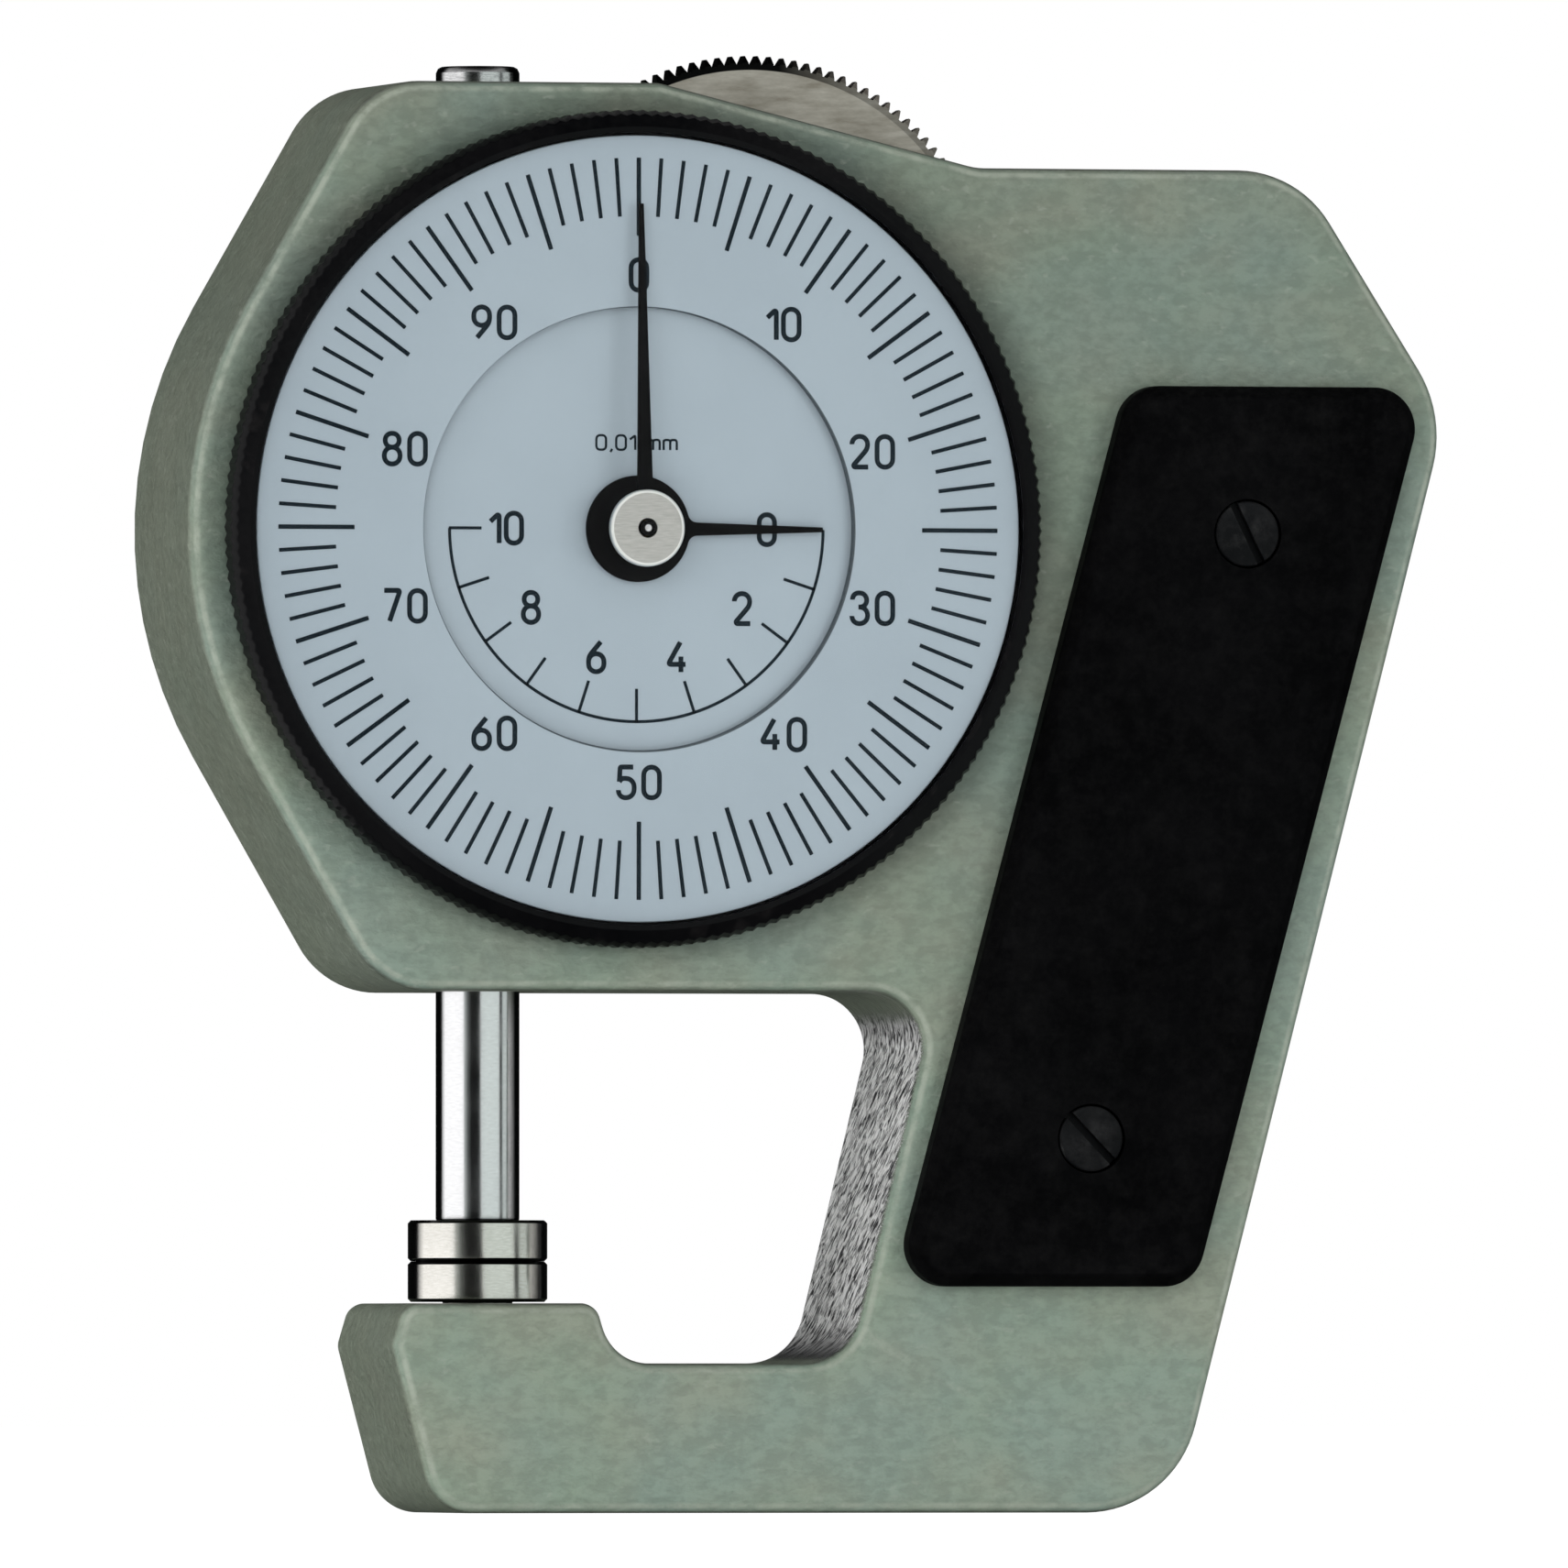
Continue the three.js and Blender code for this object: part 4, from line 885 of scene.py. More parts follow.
@dataclass(frozen=True)
class HammerPaint:
    """Grey-green hammer-finish paint with painted highlights and shade, and wrinkled bare silver on the throat's
    inner wall.
    """

    green: Colour = (0.258, 0.33, 0.256)
    sand: Colour = (0.279, 0.32, 0.25)
    blue: Colour = (0.238, 0.322, 0.276)
    ochre: Colour = (0.275, 0.312, 0.238)
    fleck: Colour = (0.46, 0.5, 0.43)
    silver: Colour = (0.97, 0.97, 0.965)
    # Painted shade in the folds of the bare wall
    fold_shade: Colour = (0.03, 0.03, 0.033)
    # The painted highlight on the rounded edges' crests, also the colour of the worn edges
    edge: Colour = (0.5, 0.55, 0.46)
    dust: Colour = (0.5, 0.5, 0.47)

    def build(self, effects: Effects) -> None:
        """Builds the material.

        Args:
            effects: the shared effects.
        """
        kit = Dresser("hammer_paint", effects, Specular_IOR_Level=0.28)
        hammer = kit.effect(effects.hammer, Size=0.72)
        wrinkle = kit.effect(effects.wrinkle, Size=0.48)
        turn = kit.effect(effects.turn)
        bare = self.bare_mask(kit)
        paint = kit.mix(hammer["Drift"], self.green, self.sand)
        paint = kit.mix(kit.times(hammer["Cool"], 0.7), paint, self.blue)
        # Painted light: the side walls are tinted ochre.
        paint = kit.mix(kit.times(turn["Wall"], 0.7), paint, self.ochre)
        # Painted shade in the paint's brightness: darker in the relief's hollows and lighter on its crests, lighter
        # low down and darker towards the top, darker on the side walls and along the rounded edges' far line, with a
        # painted shadow round the bezel's foot.
        tone = kit.times(
            kit.ramp(hammer["Relief"], 0.0, 1.0, 0.9, 1.09),
            kit.ramp(kit.along("Z"), 0.0, 90.0, 1.12, 0.85),
            kit.ramp(turn["Wall"], 0.0, 1.0, 1.0, 0.6),
            kit.ramp(turn["Line"], 0.0, 1.0, 1.0, 0.6),
            self.painted_bezel_shadow(kit),
        )
        paint = kit.node("HueSaturation", Color=paint, Value=tone).outputs[0]
        paint = kit.mix(kit.times(hammer["Fleck"], 0.22), paint, self.fleck)
        # Painted highlight along the crest of every rounded edge.
        paint = kit.mix(kit.times(turn["Crest"], 0.58), paint, self.edge)
        paint = kit.dusted(kit.worn(paint, 0.4, self.edge), 0.08, self.dust, 0.34, 0.46)
        # The bare wall shows the silver on the folds' crests and painted shade in their valleys, darker still near
        # its head and its foot.
        crest = kit.times(wrinkle["Crest"], self.wall_light(kit))
        height = kit.ramp(bare, 0.0, 1.0, hammer["Height"], kit.times(wrinkle["Height"], 2.2))
        kit.bump(height, 1.0, 0.15)
        kit.feed(kit.shader, "Metallic", kit.times(bare, 0.1))
        kit.finish(kit.mix(bare, paint, kit.mix(crest, self.fold_shade, self.silver)))

    def painted_bezel_shadow(self, kit: Dresser) -> Socket:
        """Returns the paint's tone on the front, darker round the bezel's foot as a painted shadow.

        Args:
            kit: the material's dresser.
        """
        front = kit.ramp(kit.along("Y"), -8.5, -7.5, 1.0, 0.0)
        foot = kit.effect(kit.effects.ring, X=0.7, Z=70.9, Inner=25.0, Outer=32.2, Blur=2.4)["Mask"]
        return kit.ramp(kit.times(foot, front), 0.0, 1.0, 1.0, 0.62)

    def wall_light(self, kit: Dresser) -> Socket:
        """Returns how bright the bare wall's crests are: less near its head and its foot, as painted shade.

        Args:
            kit: the material's dresser.
        """
        high = kit.along("Z")
        return kit.times(kit.ramp(high, 33.5, 36.0, 1.0, 0.3), kit.ramp(high, 11.2, 13.6, 0.08, 1.0))

    def bare_mask(self, kit: Dresser) -> Socket:
        """Returns the mask of the bare wall: the throat's right side, between two painted rims.

        Args:
            kit: the material's dresser.
        """
        across, deep, high = (kit.along(letter) for letter in "XYZ")
        shift = kit.times(kit.math("SUBTRACT", kit.noise(9.0, 3.0), 0.5), 1.6)
        deep = kit.math("ADD", kit.math("ABSOLUTE", deep), shift)
        high = kit.math("ADD", high, shift)
        return kit.times(
            kit.ramp(deep, 7.9, 8.2, 1.0, 0.0),
            kit.ramp(high, 10.6, 11.2),
            kit.ramp(high, 34.9, 36.0, 1.0, 0.0),
            kit.ramp(across, 10.5, 11.5),
            kit.ramp(across, 23.5, 24.5, 1.0, 0.0),
            kit.ramp(kit.normal("X"), -0.4, -0.2, 1.0, 0.0),
        )


@dataclass(frozen=True)
class DarkFinish:
    """A near-black finish: moulded plastic, enamel or blackened steel."""

    name: str
    deep: Colour
    pale: Colour
    worn: Colour
    roughness: float
    grain: float
    strength: float
    wear: float
    shine: float

    def build(self, effects: Effects) -> None:
        """Builds the material.

        Args:
            effects: the shared effects.
        """
        kit = Dresser(self.name, effects, Specular_IOR_Level=self.shine)
        grain = kit.effect(effects.grain, Size=self.grain)
        colour = kit.worn(kit.mix(grain["Tone"], self.deep, self.pale), self.wear, self.worn)
        kit.bump(grain["Height"], self.strength, 0.03)
        kit.finish(kit.dusted(colour, 0.025, (0.25, 0.25, 0.24), self.roughness - 0.05, self.roughness + 0.07))


@dataclass(frozen=True)
class PaintedRing:
    """A painted ring of light or shade on a bright metal, fainter towards its right side."""

    centre: Point
    inner: float
    outer: float
    right_fade: float = 0.0
    fade_reach: tuple[float, float] = (2.0, 9.0)
    colour: Colour = (0.006, 0.006, 0.006)

    def mask(self, kit: Dresser) -> Socket:
        """Returns the ring's mask.

        Args:
            kit: the material's dresser.
        """
        across, _, up = self.centre
        ring = kit.effect(kit.effects.ring, X=across, Z=up, Inner=self.inner, Outer=self.outer)
        start, end = (across + reach for reach in self.fade_reach)
        right = kit.ramp(kit.along("X"), start, end, 1.0, 1.0 - self.right_fade)
        return kit.times(ring["Mask"], right)


@dataclass(frozen=True)
class BrightMetal:
    """A bare metal with machining marks and slight stains, with painted shade on its leaning faces and at its outline
    if need be.
    """

    name: str
    light: Colour
    dark: Colour
    roughness: float
    packing: Point
    strength: float = 0.12
    ring: PaintedRing | None = None
    rim: float = 0.0
    ease: float = 0.0

    def build(self, effects: Effects) -> None:
        """Builds the material.

        Args:
            effects: the shared effects.
        """
        kit = Dresser(self.name, effects, Metallic=1.0)
        marks = kit.effect(effects.brush, **dict(zip("XYZ", self.packing)))
        colour = kit.worn(kit.mix(marks["Tone"], self.dark, self.light), 0.5, self.light)
        colour = kit.dusted(colour, 0.05, (0.3, 0.3, 0.29), self.roughness, self.roughness + 0.09)
        # A painted ring of highlight or shade, where one is given.
        if self.ring:
            colour = kit.mix(self.ring.mask(kit), colour, self.ring.colour)
        # Painted shade on chamfers and other leaning faces.
        if self.ease:
            leaning_shade = kit.ramp(kit.math("ABSOLUTE", kit.normal("Z")), 0.2, 0.5, 0.0, self.ease)
            colour = kit.mix(leaning_shade, colour, (0.012, 0.012, 0.013))
        # Painted shade along the outline, where the faces turn away.
        if self.rim:
            facing = kit.node("LayerWeight", Blend=0.5).outputs["Facing"]
            colour = kit.mix(kit.ramp(facing, 0.36, 0.52, 0.0, self.rim), colour, (0.012, 0.012, 0.014))
        kit.bump(marks["Height"], self.strength, 0.01)
        kit.finish(colour)


@dataclass(frozen=True)
class DialEnamel:
    """Matt pale blue-grey dial enamel with the faintest mottle, and a painted shade line in the gap at the outer
    dial's inner edge.
    """

    pale: Colour = (0.372, 0.438, 0.49)
    deep: Colour = (0.344, 0.406, 0.457)
    # The colour of the painted shade in the gap at the outer dial's inner edge
    rim: Colour = (0.05, 0.066, 0.078)
    dust: Colour = (0.5, 0.5, 0.5)

    def build(self, effects: Effects) -> None:
        """Builds the material.

        Args:
            effects: the shared effects.
        """
        kit = Dresser("dial_enamel", effects)
        grain = kit.effect(effects.grain, Size=0.22)
        spots = kit.times(kit.ramp(grain["Height"], 0.3, 0.7), 0.5)
        share = kit.math("ADD", kit.times(grain["Tone"], 0.5), spots)
        colour = kit.dusted(kit.mix(share, self.deep, self.pale), 0.03, self.dust, 0.55, 0.66)
        # Painted shade: a dark line in the gap at the outer dial's inner edge, off centre so it is wider to the lower
        # right.
        gap_shade = kit.effect(effects.ring, X=0.07, Z=70.25, Inner=15.4, Outer=15.93, Blur=0.05)["Mask"]
        outer_dial = kit.ramp(kit.along("Y"), -11.1, -11.05, 1.0, 0.0)
        kit.bump(grain["Height"], 0.06, 0.02)
        kit.finish(kit.mix(kit.times(gap_shade, outer_dial), colour, self.rim))


@dataclass(frozen=True)
class CrystalGlass:
    """The clear domed crystal, which lets lamp light through to the dial."""

    tint: Colour = (0.97, 0.985, 0.985)
    dust: Colour = (0.93, 0.94, 0.94)

    def build(self, effects: Effects) -> None:
        """Builds the material.

        Args:
            effects: the shared effects.
        """
        kit = Dresser("clear_crystal", effects, Transmission_Weight=1.0, IOR=1.12)
        kit.finish(kit.dusted(self.tint, 0.04, self.dust, 0.0, 0.012))
        shadow = kit.node("LightPath").outputs["Is Shadow Ray"]
        kit.show(shadow, kit.shader.outputs[0], kit.node("BsdfTransparent").outputs[0])


def build_finishes() -> None:
    """Builds every finish of the gauge."""
    effects = Effects()
    polished, fine = (2.0, 2.0, 9.0), (4.0, 8.0, 4.0)
    # Painted light on the bright metals: a highlight on the boss's lip, shade on the wheel's teeth that is paler to
    # the right, and shade round the arbor's tip in the boss's hole.
    boss_lip_highlight = PaintedRing(DIAL_CENTRE, 2.48, 2.8, colour=(0.8, 0.8, 0.77))
    wheel_rim_shade = PaintedRing(WHEEL_CENTRE, 16.92, 19.0, right_fade=0.6)
    arbor_hole_shade = PaintedRing(DIAL_CENTRE, 0.22, 0.7)
    for finish in (
        HammerPaint(),
        DarkFinish(
            "black_plastic", (0.0012, 0.0012, 0.0015), (0.0024, 0.0024, 0.0028), (0.03, 0.03, 0.03),
            roughness=0.5, grain=0.12, strength=0.2, wear=0.35, shine=0.025,
        ),
        DarkFinish(
            "black_enamel", (0.002, 0.0021, 0.0027), (0.0038, 0.0037, 0.0044), (0.04, 0.035, 0.035),
            roughness=0.32, grain=0.1, strength=0.1, wear=0.25, shine=0.09,
        ),
        DarkFinish(
            "blackened_steel", (0.003, 0.0034, 0.004), (0.0065, 0.007, 0.008), (0.08, 0.08, 0.08),
            roughness=0.42, grain=0.08, strength=0.15, wear=0.5, shine=0.07,
        ),
        DarkFinish(
            "printed_ink", (0.007, 0.013, 0.018), (0.011, 0.018, 0.024), (0.008, 0.008, 0.01),
            roughness=0.6, grain=0.08, strength=0.05, wear=0.0, shine=0.03,
        ),
        DarkFinish(
            "pointer_black", (0.0015, 0.0015, 0.0018), (0.003, 0.003, 0.0034), (0.015, 0.015, 0.015),
            roughness=0.5, grain=0.06, strength=0.1, wear=0.2, shine=0.02,
        ),
        # The steels paint shade at their outline and on their chamfers.
        BrightMetal("ground_steel", (0.97, 0.97, 0.98), (0.86, 0.86, 0.87), 0.12, polished, 0.04, rim=0.97, ease=0.9),
        BrightMetal("lapped_steel", (0.93, 0.91, 0.86), (0.78, 0.76, 0.7), 0.14, polished, 0.05, rim=0.97, ease=0.97),
        BrightMetal("worn_steel", (0.9, 0.9, 0.9), (0.5, 0.5, 0.51), 0.18, polished, 0.05, rim=0.97, ease=0.9),
        BrightMetal("satin_steel", (0.54, 0.53, 0.5), (0.4, 0.395, 0.37), 0.36, (1.0, 3.0, 9.0), 0.25, boss_lip_highlight),
        BrightMetal("wheel_steel", (0.65, 0.585, 0.525), (0.36, 0.31, 0.26), 0.38, (0.3, 3.0, 1.2), 0.25, wheel_rim_shade),
        BrightMetal("arbor_steel", (0.7, 0.7, 0.7), (0.5, 0.5, 0.5), 0.25, fine, 0.1, arbor_hole_shade),
        BrightMetal("brass", (0.72, 0.53, 0.22), (0.58, 0.42, 0.17), 0.28, (6.0, 2.0, 6.0)),
        BrightMetal("spring_steel", (0.4, 0.41, 0.43), (0.28, 0.29, 0.31), 0.25, fine),
        DialEnamel(),
        CrystalGlass(),
    ):
        finish.build(effects)


@dataclass
class Screw:
    """A slotted screw, modelled once with its head's flat at y = 0 and its shank towards +Y."""

    name: str
    head: float
    head_height: float
    shank: float
    length: float
    slot: float
    edge: float

    @cached_property
    def model(self) -> Piece:
        """The screw that the others are copied from."""
        foot, end = self.head_height, self.head_height + self.length
        head = path((0, 0), (self.head, 0, self.edge), (self.head, foot))
        shank = path((self.shank, foot), (self.shank, end, self.edge), (0, end))
        piece = turned(self.name, Axis.DIAL, (0, 0, 0), head + shank, 48, False)
        half, reach = self.slot / 2, self.head + 1
        combine(piece, slab(self.name + "_slot", box(-reach, -half, reach, half), -1, foot / 2), Join.CUT)
        smooth(piece)
        return piece

    def place(self, node: str, at: Point, side: Side, slot_angle: float) -> None:
        """Sets a copy of the screw into the gauge.

        Args:
            node: the CAD node that it replaces.
            at: the middle of its head's flat.
            side: the face that it is driven into.
            slot_angle: the slot's turn about the screw, in degrees.
        """
        pick(self.model)
        bpy.ops.object.duplicate(linked=False)
        made = bpy.context.object
        made.name = made.data.name = node + "_look"
        made.location = Vector(at) * MM
        made.rotation_euler = (math.pi if side is Side.REAR else 0, math.radians(slot_angle), 0)
        bpy.ops.object.transform_apply(location=True, rotation=True, scale=True)
        enter(made, "housing", "blackened_steel", node)

    def discard(self) -> None:
        """Deletes the model once its copies stand."""
        pick(self.model)
        bpy.ops.object.delete()


@dataclass
class Casting:
    """The cast frame: housing, handle and lower arm in one piece."""

    half: float = 9.0
    edge: float = 1.3
    chamber: float = 25.3
    seat: float = 26.2
    seat_depth: float = 2.9
    neck: float = 27.2
    neck_height: float = 1.4
    neck_root: float = 2.0
    cover_recess: float = 28.45
    recess_depth: float = 1.3
    bush_bore: float = 4.1
    stem_bore: float = 2.6
    bore_spans: tuple[tuple[float, float], ...] = ((30, 50), (90, 110))
    stem_span: tuple[float, float] = (7.9, 20)
    slot_radius: float = 18.5
    slot_half: float = 1.3
    overrun: float = 3.0
    corners: Outline = path(
        (-14.15, 0, 3.5),
        (40.65, 0, 8.3),
        (60.96, 78.9, 9),
        (49.9, 96.4, 8),
        (26, 96.4, 5),
        (2.5, 102.3, 3),
        (-18.82, 102.3, 6.3),
        (-37.297, 70.3, 32.3),
        (-18.244, 37.3, 6.5),
        (22.9, 37.3, 4),
        (16.4, 10.7, 4.3),
        (-0.9, 10.7, 3.6),
        (-2.2, 15, 1.4),
        (-16.4, 15, 1.4),
        (-17.3, 12, 1.4),
    )

    def build(self) -> None:
        """Models the casting and enters it."""
        piece = slab("frame_casting", self.corners, -self.half, self.half, step=5)
        round_edges(piece, (-self.half, self.half), self.edge, 6)
        self.hollow(piece)
        smooth(piece, 30, True)
        enter(piece, "housing", "hammer_paint", "frame")

    def hollow(self, piece: Piece) -> None:
        """Adds the neck and cuts the chamber, its seats, the bores and the wheel's slot.

        Args:
            piece: the casting.
        """
        half, past = self.half, self.half + self.overrun
        rod(piece, Join.ADD, Axis.DIAL, self.neck, -half - self.neck_height, -half + self.neck_root, DIAL_CENTRE, 128)
        for radius, start, end, centre in (
            (self.chamber, -past, past, DIAL_CENTRE),
            (self.seat, -past, -half + self.seat_depth, DIAL_CENTRE),
            (self.cover_recess, half - self.recess_depth, past, DIAL_CENTRE),
        ):
            rod(piece, Join.CUT, Axis.DIAL, radius, start, end, centre, 128)
        for span in self.bore_spans:
            rod(piece, Join.CUT, Axis.SPINDLE, self.bush_bore, *span, SPINDLE_FOOT)
        rod(piece, Join.CUT, Axis.SPINDLE, self.stem_bore, *self.stem_span, SPINDLE_FOOT)
        rod(piece, Join.CUT, Axis.DIAL, self.slot_radius, -self.slot_half, self.slot_half, WHEEL_CENTRE, 128)


@dataclass
class Grip:
    """A bevelled grip plate on one side of the handle, with its two screws."""

    side: Side
    inner: float = 9.1
    thickness: float = 2.3
    bevel: float = 0.85
    edge: float = 0.16
    bore: float = 2.5
    bore_depth: float = 1.6
    shank_bore: float = 1.65
    overrun: float = 1.0
    corners: Outline = path((19.35, 16.2, 3), (41.55, 16.2, 3), (58.85, 80.8, 3), (36.65, 80.8, 3))
    screws: tuple[tuple[str, float, float, float], ...] = (("upper", 45.21, 70.2, 64), ("lower", 33.59, 26.8, 46))

    def build(self, screw: Screw) -> None:
        """Models the plate, drills it and sets its screws.

        Args:
            screw: the grip screw.
        """
        label, sign = self.side.name.lower(), self.side.value
        inner, outer = sign * self.inner, sign * (self.inner + self.thickness)
        past = sign * self.overrun
        piece = slab(label + "_grip_plate", self.corners, inner, outer, step=6)
        round_edges(piece, (outer,), self.bevel, 1)
        round_edges(piece, (outer, outer - sign * self.bevel), self.edge, 2)
        for place, x, z, angle in self.screws:
            rod(piece, Join.CUT, Axis.DIAL, self.bore, outer - sign * self.bore_depth, outer + past, (x, 0, z), 48)
            rod(piece, Join.CUT, Axis.DIAL, self.shank_bore, inner - past, outer, (x, 0, z), 32)
            screw.place(f"{label}_grip_screw_{place}", (x, outer, z), self.side, angle)
        smooth(piece, 30, True)
        enter(piece, "housing", "black_plastic", label + "_grip")


@dataclass
class RearCover:
    """The round cover of the chamber, held by four countersunk screws."""

    radius: float = 28.3
    inner: float = 7.8
    outer: float = 9.0
    edge: float = 0.25
    screw_circle: float = 26.95
    bore: float = 1.45
    bore_depth: float = 0.85
    shank_bore: float = 0.85
    overrun: float = 1.0
    angles: tuple[int, ...] = (45, 135, 225, 315)
    slots: tuple[int, ...] = (20, 75, -35, 50)
    loops: tuple[float, ...] = (0.3, 1.3, 2.3)

    def build(self, screw: Screw) -> None:
        """Models the cover, drills it and sets its screws.

        Args:
            screw: the cover screw.
        """
        side = path((0, self.inner), (self.radius, self.inner), (self.radius, self.outer, self.edge))
        radii = (self.radius - 2 * self.edge, *(self.screw_circle - self.bore - inset for inset in self.loops), 0)
        face = path(*((radius, self.outer) for radius in radii))
        piece = turned("rear_cover_plate", Axis.DIAL, DIAL_CENTRE, side + face, 128, False)
        for i, (angle, slot) in enumerate(zip(self.angles, self.slots), 1):
            x = self.screw_circle * math.cos(math.radians(angle))
            z = DIAL_CENTRE[2] + self.screw_circle * math.sin(math.radians(angle))
            floor, top = self.outer - self.bore_depth, self.outer + self.overrun
            rod(piece, Join.CUT, Axis.DIAL, self.bore, floor, top, (x, 0, z), 32)
            rod(piece, Join.CUT, Axis.DIAL, self.shank_bore, self.inner - self.overrun, self.outer, (x, 0, z), 24)
            screw.place(f"cover_screw_{i}", (x, self.outer, z), Side.REAR, slot)
        smooth(piece, 30, True)
        enter(piece, "housing", "black_enamel", "rear_cover")


@dataclass(frozen=True)
class Rack:
    """A rack on the spindle's side: its pitch, its pitch line, the height of one groove, and its reach from there."""

    pitch: float
    line: float
    height: float
    down: float
    up: float
    side: int
    half: float = 5.0
    rise: float = 0.28
    fall: float = 0.38
    flank: tuple[float, float] = (0.39, 0.15)

    def cutter(self) -> Piece:
        """Returns the block that cuts the rack, a row of grooves with slanted flanks."""
        top, bottom = self.line + self.rise * self.pitch, self.line - self.fall * self.pitch
        first, last = -math.floor(self.down / self.pitch), math.floor(self.up / self.pitch)
        foot, head = (self.height + tooth * self.pitch for tooth in (first - 0.5, last + 0.5))
        wide, narrow = self.flank
        flanks = ((-wide, top), (-narrow, bottom), (narrow, bottom), (wide, top))
        teeth = [
            (depth, self.height + (tooth + share) * self.pitch)
            for tooth in range(first, last + 1)
            for share, depth in flanks
        ]
        points = [(top, foot), *teeth, (top, head), (self.half, head), (self.half, foot)]
        corners = path(*((self.side * across, up) for across, up in points))
        return slab("rack_cutter", corners, -self.half, self.half, SPINDLE_FOOT)


@dataclass
class Measuring:
    """The fixed contact, the bushes and the spindle with its moving contact and cap."""

    disc: float = 5.0
    bar: float = 3.0
    chamfer: float = 0.22
    soft: float = 0.06
    stem: float = 2.5
    stud: float = 1.25
    stud_bore: float = 1.35
    bush: float = 4.0
    running: float = 0.12
    fixed_heights: tuple[float, ...] = (8, 15.1, 18)
    moving_heights: tuple[float, ...] = (18.01, 20.95, 26)
    bar_heights: tuple[float, ...] = (20.96, 26.15, 95.9, 101.0)
    cap_heights: tuple[float, ...] = (96, 101.1, 103.15)
    dome: tuple[tuple[float, float], ...] = ((2.85, 103.47), (2.6, 103.6), (0, 103.6))
    bushes: tuple[tuple[str, float, float], ...] = (("lower", 37.5, 45.9), ("upper", 95.1, 102.1))
    racks: tuple[Rack, ...] = (
        Rack(pitch=math.pi * 0.3, line=2.4, height=WHEEL_CENTRE[2], down=16.0, up=6.0, side=1),
        Rack(pitch=0.625, line=2.42, height=DIAL_CENTRE[2], down=12.0, up=1.3, side=-1),
    )

    def build(self) -> None:
        """Models every piece round the spindle's axis."""
        foot, neck, face = self.fixed_heights
        section = ((0, foot), (self.stem, foot), (self.stem, neck), *self.rim(neck, face), (0, face))
        fixed = self.upright("fixed_contact", *section)
        enter(fixed, "housing", "ground_steel", "lower_contact", finish="lapped_steel")
        face, neck, top = self.moving_heights
        section = ((0, face), *self.rim(face, neck), (self.stud, neck), (self.stud, top), (0, top))
        moving = self.upright("moving_contact", *section)
        enter(moving, "spindle_unit", "ground_steel", "upper_contact", finish="lapped_steel")
        foot, neck, top = self.cap_heights
        section = ((0, foot), (self.stud, foot), (self.stud, neck), (self.bar, neck), (self.bar, top), *self.dome)
        cap = self.upright("spindle_button", *section)
        enter(cap, "spindle_unit", "ground_steel", "spindle_cap", finish="worn_steel")
        self.spindle()
        inner = self.bar + self.running
        for name, foot, top in self.bushes:
            section = box(inner, foot, self.bush, top, self.running)
            sleeve = turned(name + "_bush_sleeve", Axis.SPINDLE, SPINDLE_FOOT, section, 64)
            smooth(sleeve)
            enter(sleeve, "housing", "brass", name + "_guide_bush")

    def rim(self, foot: float, top: float) -> tuple[tuple[float, float], ...]:
        """Returns the chamfered rim of a contact's disc, as radii and heights."""
        inner, ease = self.disc - self.chamfer, self.chamfer
        return (inner, foot), (self.disc, foot + ease), (self.disc, top - ease), (inner, top)

    def upright(self, name: str, *section: tuple[float, float]) -> Piece:
        """Models a solid piece turned round the spindle's axis.

        Args:
            name: the piece's name.
            section: its corners as radius and height.

        Returns:
            The piece.
        """
        corners = tuple(Corner(*pair, self.soft) for pair in section)
        piece = turned(name, Axis.SPINDLE, SPINDLE_FOOT, corners, 96, False)
        smooth(piece)
        return piece

    def spindle(self) -> None:
        """Models the spindle with the rack of the thumb wheel and the rack of the movement."""
        foot, lower, upper, top = self.bar_heights
        bore, edge = self.stud_bore, 0.1
        corners = path(
            (0, lower), (bore, lower), (bore, foot), (self.bar, foot, edge),
            (self.bar, top, edge), (bore, top), (bore, upper), (0, upper),
        )
        piece = turned("spindle_bar", Axis.SPINDLE, SPINDLE_FOOT, corners, 96, False)
        for rack in self.racks:
            combine(piece, rack.cutter(), Join.CUT)
        smooth(piece)
        enter(piece, "spindle_unit", "ground_steel", "spindle")


